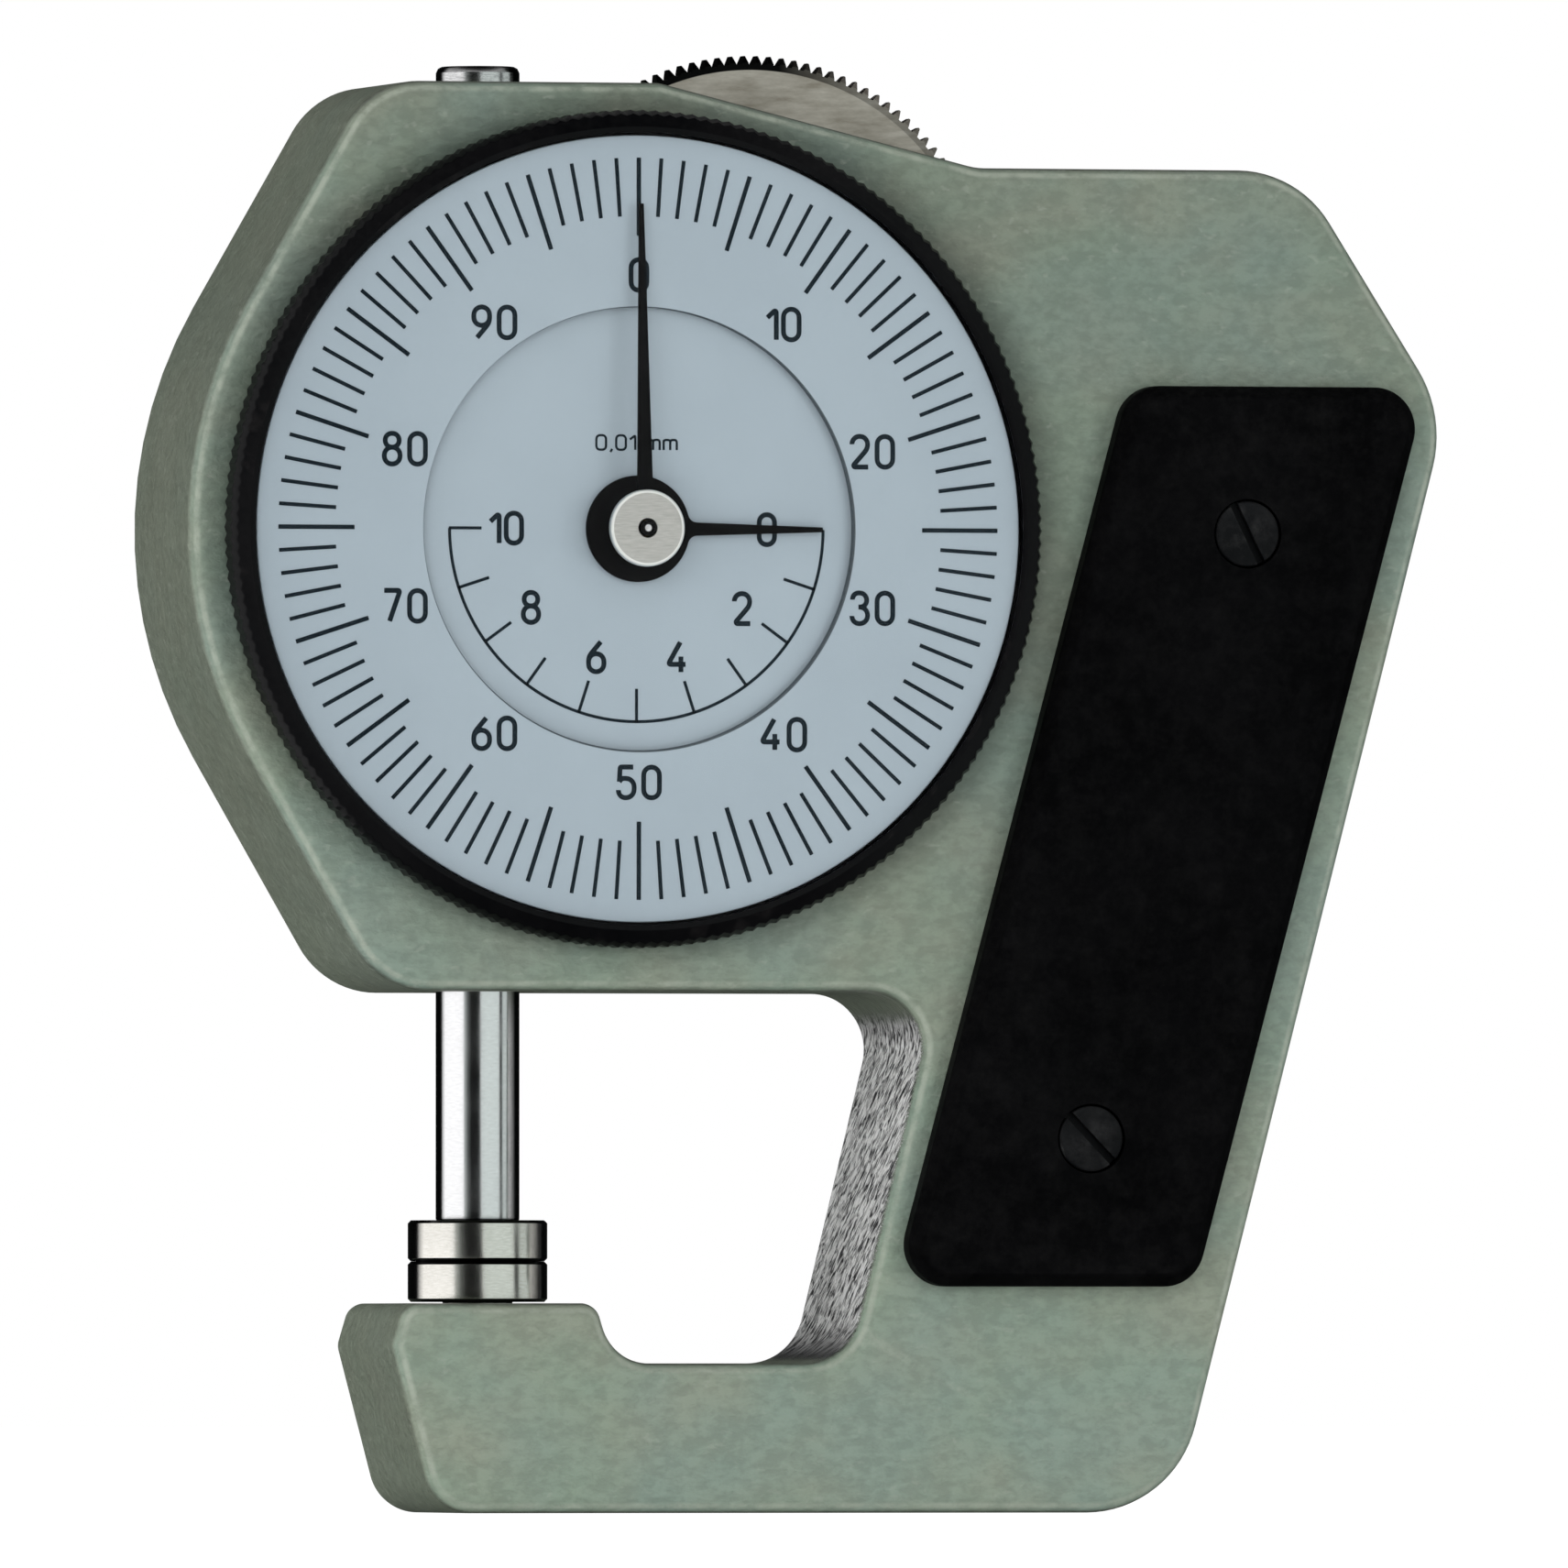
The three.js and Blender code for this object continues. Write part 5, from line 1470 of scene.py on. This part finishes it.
@dataclass
class ThumbWheel:
    """The toothed wheel behind the frame's top slope."""

    teeth: int = 118
    module: float = 0.3
    half: float = 0.8
    web_half: float = 0.45
    rim: float = 13.1
    hub: float = 3.0
    hub_ends: tuple[float, float] = (-6.05, 3.85)
    axle: float = 1.65
    axle_ends: tuple[float, float] = (-8, 6)
    tooth: tuple[tuple[float, float], ...] = ((-1.2, 0.29), (0.0, 0.16), (0.9, 0.07))
    merge: float = 0.004

    def build(self) -> None:
        """Models the wheel from one tooth spun round its centre."""
        pitch, radius = 2 * math.pi / self.teeth, self.teeth * self.module / 2
        flank = [(radius + rise * self.module, share) for rise, share in self.tooth]
        root, tip = flank[0][0], flank[-1][0]
        shape = [(reach, -share) for reach, share in ((root, 0.5), *flank)]
        shape += [(reach, -share) for reach, share in reversed(shape)]
        flat = [Matrix.Rotation(math.pi + share * pitch, 2) @ Vector((reach, 0)) for reach, share in shape]
        pen = Pen("thumb_wheel_disc", Plane.FRONT, (WHEEL_CENTRE[0], -self.half, WHEEL_CENTRE[2]), *flat[0])
        for point in flat[1:]:
            pen.line(*point)
        spin_copies(WHEEL_CENTRE, self.teeth - 1, (self.teeth - 1) * pitch)
        piece = pen.thicken(2 * self.half, self.merge)
        for side in (-1, 1):
            self.thin_teeth(piece, root, tip, side * (self.half + 0.01))
        for side in (-1, 1):
            rod(piece, Join.CUT, Axis.DIAL, self.rim, side * self.web_half, side * (self.half + 1), WHEEL_CENTRE, 96)
        rod(piece, Join.ADD, Axis.DIAL, self.hub, *self.hub_ends, WHEEL_CENTRE, 48)
        rod(piece, Join.CUT, Axis.DIAL, self.axle, *self.axle_ends, WHEEL_CENTRE, 32)
        smooth(piece, 25)
        enter(piece, "thumb_roller", "ground_steel", "thumb_wheel", finish="wheel_steel")

    def thin_teeth(self, piece: Piece, root: float, tip: float, face: float) -> None:
        """Thins the teeth towards their tips from one face.

        Args:
            piece: the wheel's disc.
            root: the radius of the teeth's roots.
            tip: the radius of their tips.
            face: the depth of the face.
        """
        section = path((root + 0.12, face), (tip + 0.3, face), (tip + 0.3, 0.3 * face))
        combine(piece, turned("tooth_taper", Axis.DIAL, WHEEL_CENTRE, section, 192), Join.CUT)


@dataclass
class Bezel:
    """The knurled bezel and the domed crystal that it holds."""

    back: float = -9.3
    front: float = -12.4
    outer: float = 29.95
    knurl: float = 0.17
    teeth: int = 206
    bore: float = 27.4
    opening: float = 28.3
    shelf: float = -11.1
    groove: float = 28.8
    groove_depths: tuple[float, float] = (0.28, 0.68)
    chamfer: float = 0.3
    play: float = 0.1
    apexes: tuple[float, float] = (-16.0, -15.0)
    rims: tuple[float, float] = (0.42, 0.64)

    def build(self) -> None:
        """Models the ring, its knurl and the crystal."""
        band, ease, front, mouth = self.outer - self.knurl, self.chamfer, self.front, self.opening
        near, far = (front + depth for depth in self.groove_depths)
        outside = path(
            (self.bore, self.back), (band - ease, self.back, 0.1), (band, self.back - ease),
            (band, front + 1.15, 0.2), (band - ease, front + 0.45, 0.25),
        )
        lip = path((mouth + 0.46, front + 0.05), (mouth + 0.4, front, 0.05), (mouth, front + 0.1, 0.06))
        inside = path(
            (mouth, near), (self.groove, near), (self.groove, far),
            (mouth, far), (mouth, self.shelf), (self.bore, self.shelf),
        )
        piece = turned("bezel_ring", Axis.DIAL, DIAL_CENTRE, outside + lip + inside, 2 * self.teeth)
        self.roll_knurl(piece, band)
        smooth(piece, 38)
        enter(piece, "bezel_unit", "black_enamel", "bezel")
        self.crystal()

    def roll_knurl(self, piece: Piece, band: float) -> None:
        """Lifts every second line of the band into a ridge.

        Args:
            piece: the ring.
            band: the radius of the knurl's valleys.
        """

        def on_ridge(point: Vector) -> bool:
            """Says whether a point lies on a ridge of the band or of the slope in front of it.

            Args:
                point: the point.
            """
            x, z = point.x, point.z - DIAL_CENTRE[2]
            radius, column = math.hypot(x, z), round(math.atan2(z, x) * self.teeth / math.pi)
            on_slope = radius > self.groove + self.play and point.y < self.front + 1.1
            return column % 2 == 0 and (radius > band - 0.02 or on_slope)

        choose(piece, Select.POINTS, on_ridge)
        grow = self.outer / band
        bpy.ops.transform.resize(value=(grow, 1, grow), center_override=Vector(DIAL_CENTRE) * MM)
        bpy.ops.object.mode_set(mode="OBJECT")

    def crystal(self) -> None:
        """Models the domed crystal, a shell whose rim is held in the bezel's groove."""
        radius = self.groove - self.play
        pen = Pen("domed_crystal", Plane.SECTION, DIAL_CENTRE, 0, self.apexes[0])
        for apex, depth, way in zip(self.apexes, self.rims, (1, -1)):
            rim = self.front + depth
            rise = rim - apex
            sphere = (radius**2 + rise**2) / (2 * rise)
            if way < 0:
                pen.line(radius, rim)
            pen.arc(Vector((0, apex + sphere)), way * math.asin(radius / sphere), 24)
        piece = pen.turn(Axis.DIAL, 128)
        smooth(piece, 40)
        enter(piece, "bezel_unit", "clear_crystal", "crystal")


@dataclass(frozen=True)
class Glyph:
    """A sign drawn as pen strokes in a box of height 1: its width, and its closed and open paths."""

    width: float
    closed: tuple[Outline, ...] = ()
    opened: tuple[Outline, ...] = ()


GLYPHS = {
    "0": Glyph(0.53, (box(0, 0, 0.53, 1, 0.26),)),
    "1": Glyph(0.3, (), (path((0, 0.72), (0.3, 1), (0.3, 0)),)),
    "2": Glyph(0.53, (), (path((0, 0.74), (0, 1, 0.255), (0.53, 1, 0.255), (0.53, 0.6, 0.35), (0, 0), (0.55, 0)),)),
    "3": Glyph(
        0.53,
        (),
        (
            path((0.02, 0.78), (0.02, 1, 0.2), (0.5, 1, 0.23), (0.5, 0.54, 0.22), (0.22, 0.54)),
            path((0.22, 0.54), (0.53, 0.54, 0.26), (0.53, 0, 0.26), (0, 0, 0.24), (0, 0.25)),
        ),
    ),
    "4": Glyph(0.6, (), (path((0.42, 1), (0, 0.26), (0.6, 0.26)), path((0.44, 0.52), (0.44, 0)))),
    "5": Glyph(
        0.53,
        (),
        (
            path((0.5, 1), (0.06, 1), (0.03, 0.52)),
            path((0.03, 0.52), (0.12, 0.63, 0.1), (0.53, 0.63, 0.27), (0.53, 0, 0.27), (0, 0, 0.23), (0, 0.25)),
        ),
    ),
    "6": Glyph(0.53, (box(0, 0, 0.53, 0.6, 0.26),), (path((0.42, 1), (0, 0.5, 0.4), (0, 0.3)),)),
    "7": Glyph(0.53, (), (path((0, 1), (0.53, 1), (0.18, 0)),)),
    "8": Glyph(0.53, (box(0, 0, 0.53, 0.55, 0.26), box(0.03, 0.55, 0.5, 1, 0.22))),
    "9": Glyph(0.53, (box(0, 0.4, 0.53, 1, 0.26),), (path((0.11, 0), (0.53, 0.5, 0.4), (0.53, 0.7)),)),
    ",": Glyph(0.12, (), (path((0.12, 0.06), (0.02, -0.16)),)),
    " ": Glyph(0.16),
    "m": Glyph(
        0.72,
        (),
        (
            path((0, 0), (0, 0.7)),
            path((0, 0.44), (0, 0.7, 0.17), (0.36, 0.7, 0.17), (0.36, 0)),
            path((0.36, 0.44), (0.36, 0.7, 0.17), (0.72, 0.7, 0.17), (0.72, 0)),
        ),
    ),
}


@dataclass(frozen=True)
class Word:
    """A number or word on a dial: its signs, its height and place, its stroke and how wide its signs are drawn."""

    text: str
    height: float
    across: float
    up: float
    stroke: float = 0.36
    widening: float = 1.0
    gap: float = 0.32
    narrow_gap: float = 0.24
    corner: float = 0.05

    def strokes(self) -> list[Piece]:
        """Draws the word's signs upright in X and Z.

        Returns:
            The strokes, each a mesh of edges.
        """
        tall = self.height - self.stroke
        wide, round_off = tall * self.widening, tall * min(self.widening, 1.0)
        gaps = [self.narrow_gap if sign == "1" else self.gap for sign in self.text[:-1]] + [0.0]
        whole = sum(GLYPHS[sign].width + gap for sign, gap in zip(self.text, gaps))
        left, foot = self.across - whole * wide / 2, DIAL_CENTRE[2] + self.up - tall / 2
        drawn = []
        for sign, gap in zip(self.text, gaps):
            glyph = GLYPHS[sign]
            for closed, outlines in ((True, glyph.closed), (False, glyph.opened)):
                for outline in outlines:
                    corners = tuple(
                        Corner(c.across * wide, c.up * tall, max(c.radius, self.corner) * round_off) for c in outline
                    )
                    drawn.append(draw("stroke", Plane.FRONT, (left, 0, foot), corners, closed, 20).end())
            left += (glyph.width + gap) * wide
        return drawn


@dataclass
class Dials:
    """The turning outer dial and the fixed inner dial, with their printed scales."""

    outer_front: float = -11.7
    inner_front: float = -11.0
    outer_radii: tuple[float, float] = (15.8, 28.1)
    outer_thickness: float = 0.5
    inner_radii: tuple[float, float, float] = (2, 25.3, 25.9)
    inner_thickness: float = 0.4
    inner_back: float = -7.5
    ink: float = 0.02
    sunk: float = 0.002
    strokes_end: float = 26.5
    short_strokes: tuple[float, float] = (22.3, 0.28)
    long_strokes: tuple[float, float] = (20.9, 0.32)
    numbers: tuple[float, float] = (2.55, 18.1)
    small_strokes: tuple[float, float, float] = (11.4, 13.8, 0.22)
    small_numbers: tuple[float, float] = (2.5, 9.6)
    arc: tuple[float, float] = (13.75, 0.11)
    unit: Word = Word("0,01 mm", 1.2, 0.0, 6.15, 0.17, 1.3, 0.22)

    def build(self) -> None:
        """Models both dials and prints their scales."""
        (inner, outer), front = self.outer_radii, self.outer_front
        back = front + self.outer_thickness
        ring = path((inner, front, 0.12), (outer, front, 0.1), (outer, back), (inner, back))
        self.plate("outer_dial_plate", ring, "bezel_unit", "outer_dial")
        (bore, inner, outer), front, back = self.inner_radii, self.inner_front, self.inner_back
        floor = front + self.inner_thickness
        cup = path((bore, front), (outer, front, 0.15), (outer, back), (inner, back), (inner, floor), (bore, floor))
        self.plate("inner_dial_cup", cup, "housing", "inner_dial")
        self.outer_scale()
        self.inner_scale()

    def plate(self, name: str, section: Outline, body: str, node: str) -> None:
        """Models a dial's plate.

        Args:
            name: the piece's name.
            section: half its section.
            body: the body that carries the dial.
            node: the CAD node that it replaces.
        """
        piece = turned(name, Axis.DIAL, DIAL_CENTRE, section, 160)
        smooth(piece, 30, True)
        enter(piece, body, "dial_enamel", node)

    def stroke(self, name: str, inner: float, outer: float, width: float, face: float) -> Piece:
        """Prints one straight stroke that points up from the dial's centre.

        Args:
            name: the piece's name.
            inner: its inner radius.
            outer: its outer radius.
            width: its width.
            face: the depth of the dial's face.

        Returns:
            The stroke.
        """
        outline = box(-width / 2, inner, width / 2, outer)
        return slab(name, outline, face - self.ink, face - self.sunk, DIAL_CENTRE)

    def repeat(self, piece: Piece, count: int, step: float, first: float = 0.0) -> Piece:
        """Repeats a stroke round the dial.

        Args:
            piece: the stroke.
            count: how many there are in the end.
            step: the angle from one to the next in degrees, clockwise from the front.
            first: the first one's angle from the top, clockwise.

        Returns:
            The strokes.
        """
        edit(piece)
        if first:
            spin_copies(DIAL_CENTRE, 1, -math.radians(first))
            bpy.ops.mesh.select_all(action="INVERT")
            bpy.ops.mesh.delete(type="VERT")
        spin_copies(DIAL_CENTRE, count - 1, -math.radians((count - 1) * step))
        bpy.ops.object.mode_set(mode="OBJECT")
        return piece

    def gather(self, name: str, marks: list[Piece], body: str) -> None:
        """Joins printed marks into one piece and enters it.

        Args:
            name: the joined piece's name.
            marks: the marks.
            body: the body that carries the dial.
        """
        join(marks)
        marks[0].name = marks[0].data.name = name
        enter(marks[0], body, "pointer_black", finish="printed_ink")

    def outer_scale(self) -> None:
        """Prints a hundred strokes and the numbers from 0 to 90."""
        face, end = self.outer_front, self.strokes_end
        (short, thin), (long, thick) = self.short_strokes, self.long_strokes
        marks = [
            self.repeat(self.stroke("short_strokes", short, end, thin, face), 100, 3.6),
            self.repeat(self.stroke("long_strokes", long, end, thick, face - self.sunk), 20, 18),
        ]
        height, radius = self.numbers
        for i in range(10):
            across, up = Matrix.Rotation(-math.radians(36 * i), 2) @ Vector((0, radius))
            marks.append(self.word(Word(str(10 * i), height, across, up), face))
        self.gather("outer_scale_print", marks, "bezel_unit")

    def inner_scale(self) -> None:
        """Prints the small scale of ten, its numbers and the reading's unit."""
        face, centre = self.inner_front, Vector((0, 0))
        ticks = self.repeat(self.stroke("small_strokes", *self.small_strokes, face), 10, 18, 108)
        radius, half = self.arc
        pen = Pen("small_arc", Plane.FRONT, (0, face - self.ink, DIAL_CENTRE[2]), radius + half, 0)
        pen.arc(centre, -math.pi, 72)
        pen.line(-radius + half, 0)
        pen.arc(centre, math.pi, 72)
        pen.line(radius + half, 0)
        marks = [ticks, pen.thicken(self.ink - self.sunk), self.word(self.unit, face)]
        height, radius = self.small_numbers
        for i in range(6):
            across, up = Matrix.Rotation(-math.radians(36 * i), 2) @ Vector((radius, 0))
            marks.append(self.word(Word(str(2 * i), height, across, up), face))
        self.gather("inner_scale_print", marks, "housing")

    def word(self, word: Word, face: float) -> Piece:
        """Prints a word upright on a dial's face, with round strokes pressed flat.

        Args:
            word: the word.
            face: the depth of the dial's face.

        Returns:
            The word as a mesh.
        """
        join(word.strokes())
        bpy.ops.object.convert(target="CURVE")
        curve = bpy.context.object.data
        curve.dimensions = "3D"
        curve.bevel_depth = word.stroke / 2 * MM
        curve.bevel_resolution = 2
        curve.use_fill_caps = True
        bpy.ops.object.convert(target="MESH")
        made = bpy.context.object
        edit(made)
        bpy.ops.transform.resize(value=(1, self.ink / word.stroke, 1), center_override=(0, 0, 0))
        bpy.ops.transform.translate(value=(0, (face - self.ink / 2) * MM, 0))
        close_up()
        return made


@dataclass
class Pointers:
    """The main pointer with its bright boss, and the small pointer behind it."""

    small_front: float = -11.6
    small_thickness: float = 0.35
    small_hub: float = 3.8
    small_bore: float = 1.3
    small_length: float = 13.6
    small_blade: tuple[float, float] = (0.47, 0.17)
    fillet: float = 0.7
    edge: float = 0.05
    main_front: float = -13.6
    main_thickness: float = 0.25
    main_hub: float = 2.4
    main_bore: float = 1.35
    main_foot: float = 1.9
    main_length: float = 23.2
    main_blade: tuple[float, float] = (0.58, 0.16)
    drop: float = 1.1
    boss_front: float = -14.3
    boss_radii: tuple[float, float, float] = (0.66, 1.3, 2.75)
    boss_depths: tuple[float, float] = (0.6, 1.8)

    def build(self) -> None:
        """Models the pointers and the boss."""
        self.small_pointer()
        self.main_pointer()
        front, (bore, tube, cap) = self.boss_front, self.boss_radii
        shoulder, back = (front + depth for depth in self.boss_depths)
        head = path((bore, front, 0.1), (cap, front, 0.22), (cap, shoulder, 0.1))
        boss = turned(
            "pointer_boss_cap", Axis.DIAL, DIAL_CENTRE, head + path((tube, shoulder), (tube, back), (bore, back)), 96
        )
        smooth(boss)
        enter(boss, "centre_arbor_unit", "ground_steel", "pointer_boss", finish="satin_steel")

    def small_pointer(self) -> None:
        """Models the small pointer: a round hub whose blade leaves it by two fillets."""
        front, length, (root, tip) = self.small_front, self.small_length, self.small_blade
        across = root + self.fillet
        along = math.sqrt((self.small_hub + self.fillet) ** 2 - across**2)
        angle = math.atan2(across, along)
        pen = Pen("small_pointer_blade", Plane.FRONT, (0, front, DIAL_CENTRE[2]), length, -tip)
        pen.line(length, tip)
        pen.line(along, root)
        pen.arc(Vector((along, across)), angle - math.pi / 2, 8)
        pen.arc(Vector((0, 0)), 2 * math.pi - 2 * angle, 72)
        pen.arc(Vector((along, -across)), angle - math.pi / 2, 8)
        pen.line(length, -tip)
        piece = pen.thicken(self.small_thickness)
        rod(piece, Join.CUT, Axis.DIAL, self.small_bore, front - 1, front + 1, DIAL_CENTRE, 32)
        round_edges(piece, (front,), self.edge, 2)
        smooth(piece, 40, True)
        enter(piece, "hour_unit", "pointer_black", "small_pointer")

    def main_pointer(self) -> None:
        """Models the main pointer, whose blade points up and slopes down towards the dial."""
        front, back = self.main_front, self.main_front + self.main_thickness
        (root, tip), foot, end = self.main_blade, self.main_foot, self.main_length
        outline = path((-root, foot), (root, foot), (tip, end), (-tip, end))
        piece = slab("main_pointer_blade", outline, front, back, DIAL_CENTRE)
        choose(piece, Select.POINTS, lambda point: point.z > DIAL_CENTRE[2] + end / 2)
        bpy.ops.transform.translate(value=(0, self.drop * MM, 0))
        bpy.ops.object.mode_set(mode="OBJECT")
        rod(piece, Join.ADD, Axis.DIAL, self.main_hub, front, back, DIAL_CENTRE, 64)
        rod(piece, Join.CUT, Axis.DIAL, self.main_bore, front - 1, front + 1, DIAL_CENTRE, 48)
        smooth(piece, 30)
        enter(piece, "centre_arbor_unit", "pointer_black", "main_pointer")


class Movement:
    """The CAD nodes of the movement, which stay as they are inside the chamber."""

    def dress(self) -> None:
        """Gives each CAD node that is still shown its finish."""
        brass = ["front_plate", "rear_plate", "first_wheel", "hour_pinion", "hour_wheel", "hairspring_wheel"]
        brass += ["hairspring_collet", *(f"plate_pillar_{i}" for i in (1, 2, 3))]
        steel = ["hairspring_stud", "hairspring", "return_spring", "first_arbor", "hairspring_arbor"]
        steel += ["snap_ring", "spring_post", "spring_pin"]
        steel += [f"{kind}_screw_{i}" for kind in ("pillar", "plate") for i in (1, 2, 3)]
        for names, finish in (
            (brass, "brass"),
            (steel, "spring_steel"),
            (["wheel_axle"], "ground_steel"),
            (["centre_arbor"], "arbor_steel"),
        ):
            for name in names:
                dress(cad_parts[name], finish)
                LOG.info("node %s dressed", name)


@dataclass(frozen=True)
class Card:
    """A curved card round the object, in degrees to the right of the dial's axis, with its tone and foot."""

    name: str
    start: float
    end: float
    grey: float
    foot: float = 0.075

    def build(self, reach: float, height: float) -> Piece:
        """Stands the card on the floor with its foot drawn in towards the object.

        Args:
            reach: its distance from the object, in metres.
            height: its height, in metres.

        Returns:
            The card.
        """
        turn = math.radians(self.start)
        away = Vector((math.sin(turn), -math.cos(turn), 0))
        card = start_point(self.name, away * reach)
        extrude(away * (self.foot - reach))
        choose(card, Select.POINTS, lambda point: point.length * MM > reach - 0.01)
        extrude((0, 0, height))
        bpy.ops.mesh.select_all(action="SELECT")
        bpy.ops.mesh.spin(steps=16, angle=math.radians(self.end - self.start), center=(0, 0, 0), axis=(0, 0, -1))
        bpy.ops.object.mode_set(mode="OBJECT")
        bench = new_surface(card)
        glow = bench.node("Emission", Color=(0.91 * self.grey, self.grey, 0.97 * self.grey))
        bench.feed(bench.tree.nodes["Material Output"], "Surface", glow.outputs[0])
        return card


@dataclass
class Studio:
    """The floor, the lamps, the cards, the backdrop colour and the camera, in metres."""

    azimuth: float = -14.7
    elevation: float = -0.9
    distance: float = 2.6
    span: float = 0.1126
    target: Point = (0.0138, 0.0, 0.0523)
    lamp_target: Point = (0.01, 0, 0.055)
    floor_size: float = 6.0
    floor_height: float = -0.0003
    card_reach: float = 0.4
    card_height: float = 0.45
    card_list: tuple[Card, ...] = (
        Card("card_dusk", -53.0, -45.0, 0.28),
        Card("card_dark", -45.0, -37.0, 0.06),
        Card("card_black_left", -37.0, -7.5, 0.002),
        Card("card_pale", -6.5, 47.0, 0.68),
        Card("card_black_line", 47.5, 57.0, 0.006),
        Card("card_grey", 57.0, 84.0, 0.55),
        Card("card_black_right", 84.0, 130.0, 0.01),
        Card("card_black_rear", 130.0, 231.0, 0.01, 0.025),
    )
    discs: tuple[tuple[str, float, float], ...] = (
        ("card_black_ceiling", 0.45, 0.6),
        # The floor disc is a dark sheet seen only in reflections, a painted shadow under the object.
        ("card_black_floor", 0.07, -0.0002),
    )
    lamp_list: tuple[tuple[str, Point, float, float], ...] = (
        ("key_lamp", (0.75, -1.0, 0.02), 0.45, 3.3),
        ("fill_lamp", (-0.6, -1.0, 0.3), 0.9, 2.5),
        ("top_lamp", (0.1, 0.1, 1.3), 0.8, 1.0),
        ("throat_lamp", (-1.2, -0.2, 0.03), 0.4, 5.0),
        ("rear_lamp", (-0.4, 1.2, 0.3), 0.8, 2.5),
    )

    def build(self) -> None:
        """Sets up the whole studio."""
        self.floor()
        self.cards()
        self.world()
        self.lamps()
        self.camera()
        bpy.context.scene.view_settings.view_transform = "Standard"

    def white_to_rays(self, bench: Bench, elsewhere: float) -> Socket:
        """Returns a strength that is 1 for camera, glossy and transmission rays.

        Args:
            bench: the tree's bench.
            elsewhere: the strength for light that falls on the object.
        """
        rays = bench.node("LightPath").outputs
        seen = bench.math("ADD", rays["Is Camera Ray"], rays["Is Glossy Ray"])
        seen = bench.math("MINIMUM", bench.math("ADD", seen, rays["Is Transmission Ray"]), 1.0)
        return bench.ramp(seen, 0.0, 1.0, elsewhere, 1.0)

    def floor(self) -> None:
        """Lays the pale floor, which keeps a soft shadow of the object."""
        clear()
        bpy.ops.mesh.primitive_plane_add(size=self.floor_size, location=(0, 0, self.floor_height))
        plane = bpy.context.object
        plane.name = "studio_floor"
        bench = new_surface(plane)
        shader = bench.tree.nodes["Principled BSDF"]
        for key, value in (("Base Color", (0.9, 0.9, 0.9)), ("Roughness", 0.9), ("Specular IOR Level", 0.1)):
            bench.feed(shader, key, value)
        glow = bench.node("Emission", Color=(1.0, 1.0, 1.0), Strength=1.2)
        bench.show(bench.times(self.white_to_rays(bench, 0.3), 0.8), shader.outputs[0], glow.outputs[0])

    def cards(self) -> None:
        """Stands cards round the object, out of the picture, which give polished steel its bands, and lays black
        discs overhead and on the floor; the floor disc is a painted shadow under the object, seen only in
        reflections.
        """
        cards = [card.build(self.card_reach, self.card_height) for card in self.card_list]
        black = cards[2].data.materials[0]
        for name, radius, height in self.discs:
            clear()
            place = (0.01, 0, height)
            bpy.ops.mesh.primitive_circle_add(vertices=48, radius=radius, fill_type="NGON", location=place)
            disc = bpy.context.object
            disc.name = name
            disc.data.materials.append(black)
            cards.append(disc)
        for card in cards:
            card.visible_camera = card.visible_diffuse = card.visible_shadow = card.visible_transmission = False

    def world(self) -> None:
        """Makes the surroundings white to look at and soft grey as light."""
        world = bpy.data.worlds.new("studio")
        bpy.context.scene.world = world
        world.use_nodes = True
        bench = Bench(world.node_tree)
        sky = world.node_tree.nodes["Background"]
        bench.feed(sky, "Color", (1, 1, 1))
        bench.feed(sky, "Strength", self.white_to_rays(bench, 0.5))

    def lamps(self) -> None:
        """Hangs a key lamp low on the right, weaker ones on the left, above and behind, and one for the throat."""
        for name, place, size, power in self.lamp_list:
            clear()
            bpy.ops.object.light_add(type="AREA", location=place)
            lamp = bpy.context.object
            lamp.name = name
            lamp.data.shape = "DISK"
            lamp.data.size = size
            lamp.data.energy = power
            lamp.visible_glossy = lamp.visible_transmission = False
            aim = Vector(self.lamp_target) - Vector(place)
            lamp.rotation_euler = aim.to_track_quat("-Z", "Y").to_euler()

    def camera(self) -> None:
        """Sets the camera at the photograph's angle."""
        turn, tilt = math.radians(self.azimuth), math.radians(self.elevation)
        away = Vector((math.sin(turn) * math.cos(tilt), -math.cos(turn) * math.cos(tilt), math.sin(tilt)))
        clear()
        bpy.ops.object.camera_add(location=Vector(self.target) + away * self.distance)
        camera = bpy.context.object
        camera.name = "photo_camera"
        camera.rotation_euler = (-away).to_track_quat("-Z", "Y").to_euler()
        camera.data.lens = camera.data.sensor_width * self.distance / self.span
        camera.data.clip_end = 20
        bpy.context.scene.camera = camera


def main() -> None:
    """Builds the gauge's looks in order and reports each piece."""
    logging.basicConfig(level=logging.INFO, format="%(message)s")
    build_finishes()
    Casting().build()
    grip_screw = Screw("grip_screw_model", head=2.35, head_height=1.5, shank=1.5, length=7.0, slot=0.6, edge=0.2)
    for side in Side:
        Grip(side).build(grip_screw)
    grip_screw.discard()
    cover_screw = Screw("cover_screw_model", head=1.3, head_height=0.8, shank=0.7, length=2.2, slot=0.35, edge=0.1)
    RearCover().build(cover_screw)
    cover_screw.discard()
    Measuring().build()
    ThumbWheel().build()
    Dials().build()
    Pointers().build()
    Bezel().build()
    Movement().dress()
    Studio().build()


if __name__ == "__main__":
    main()
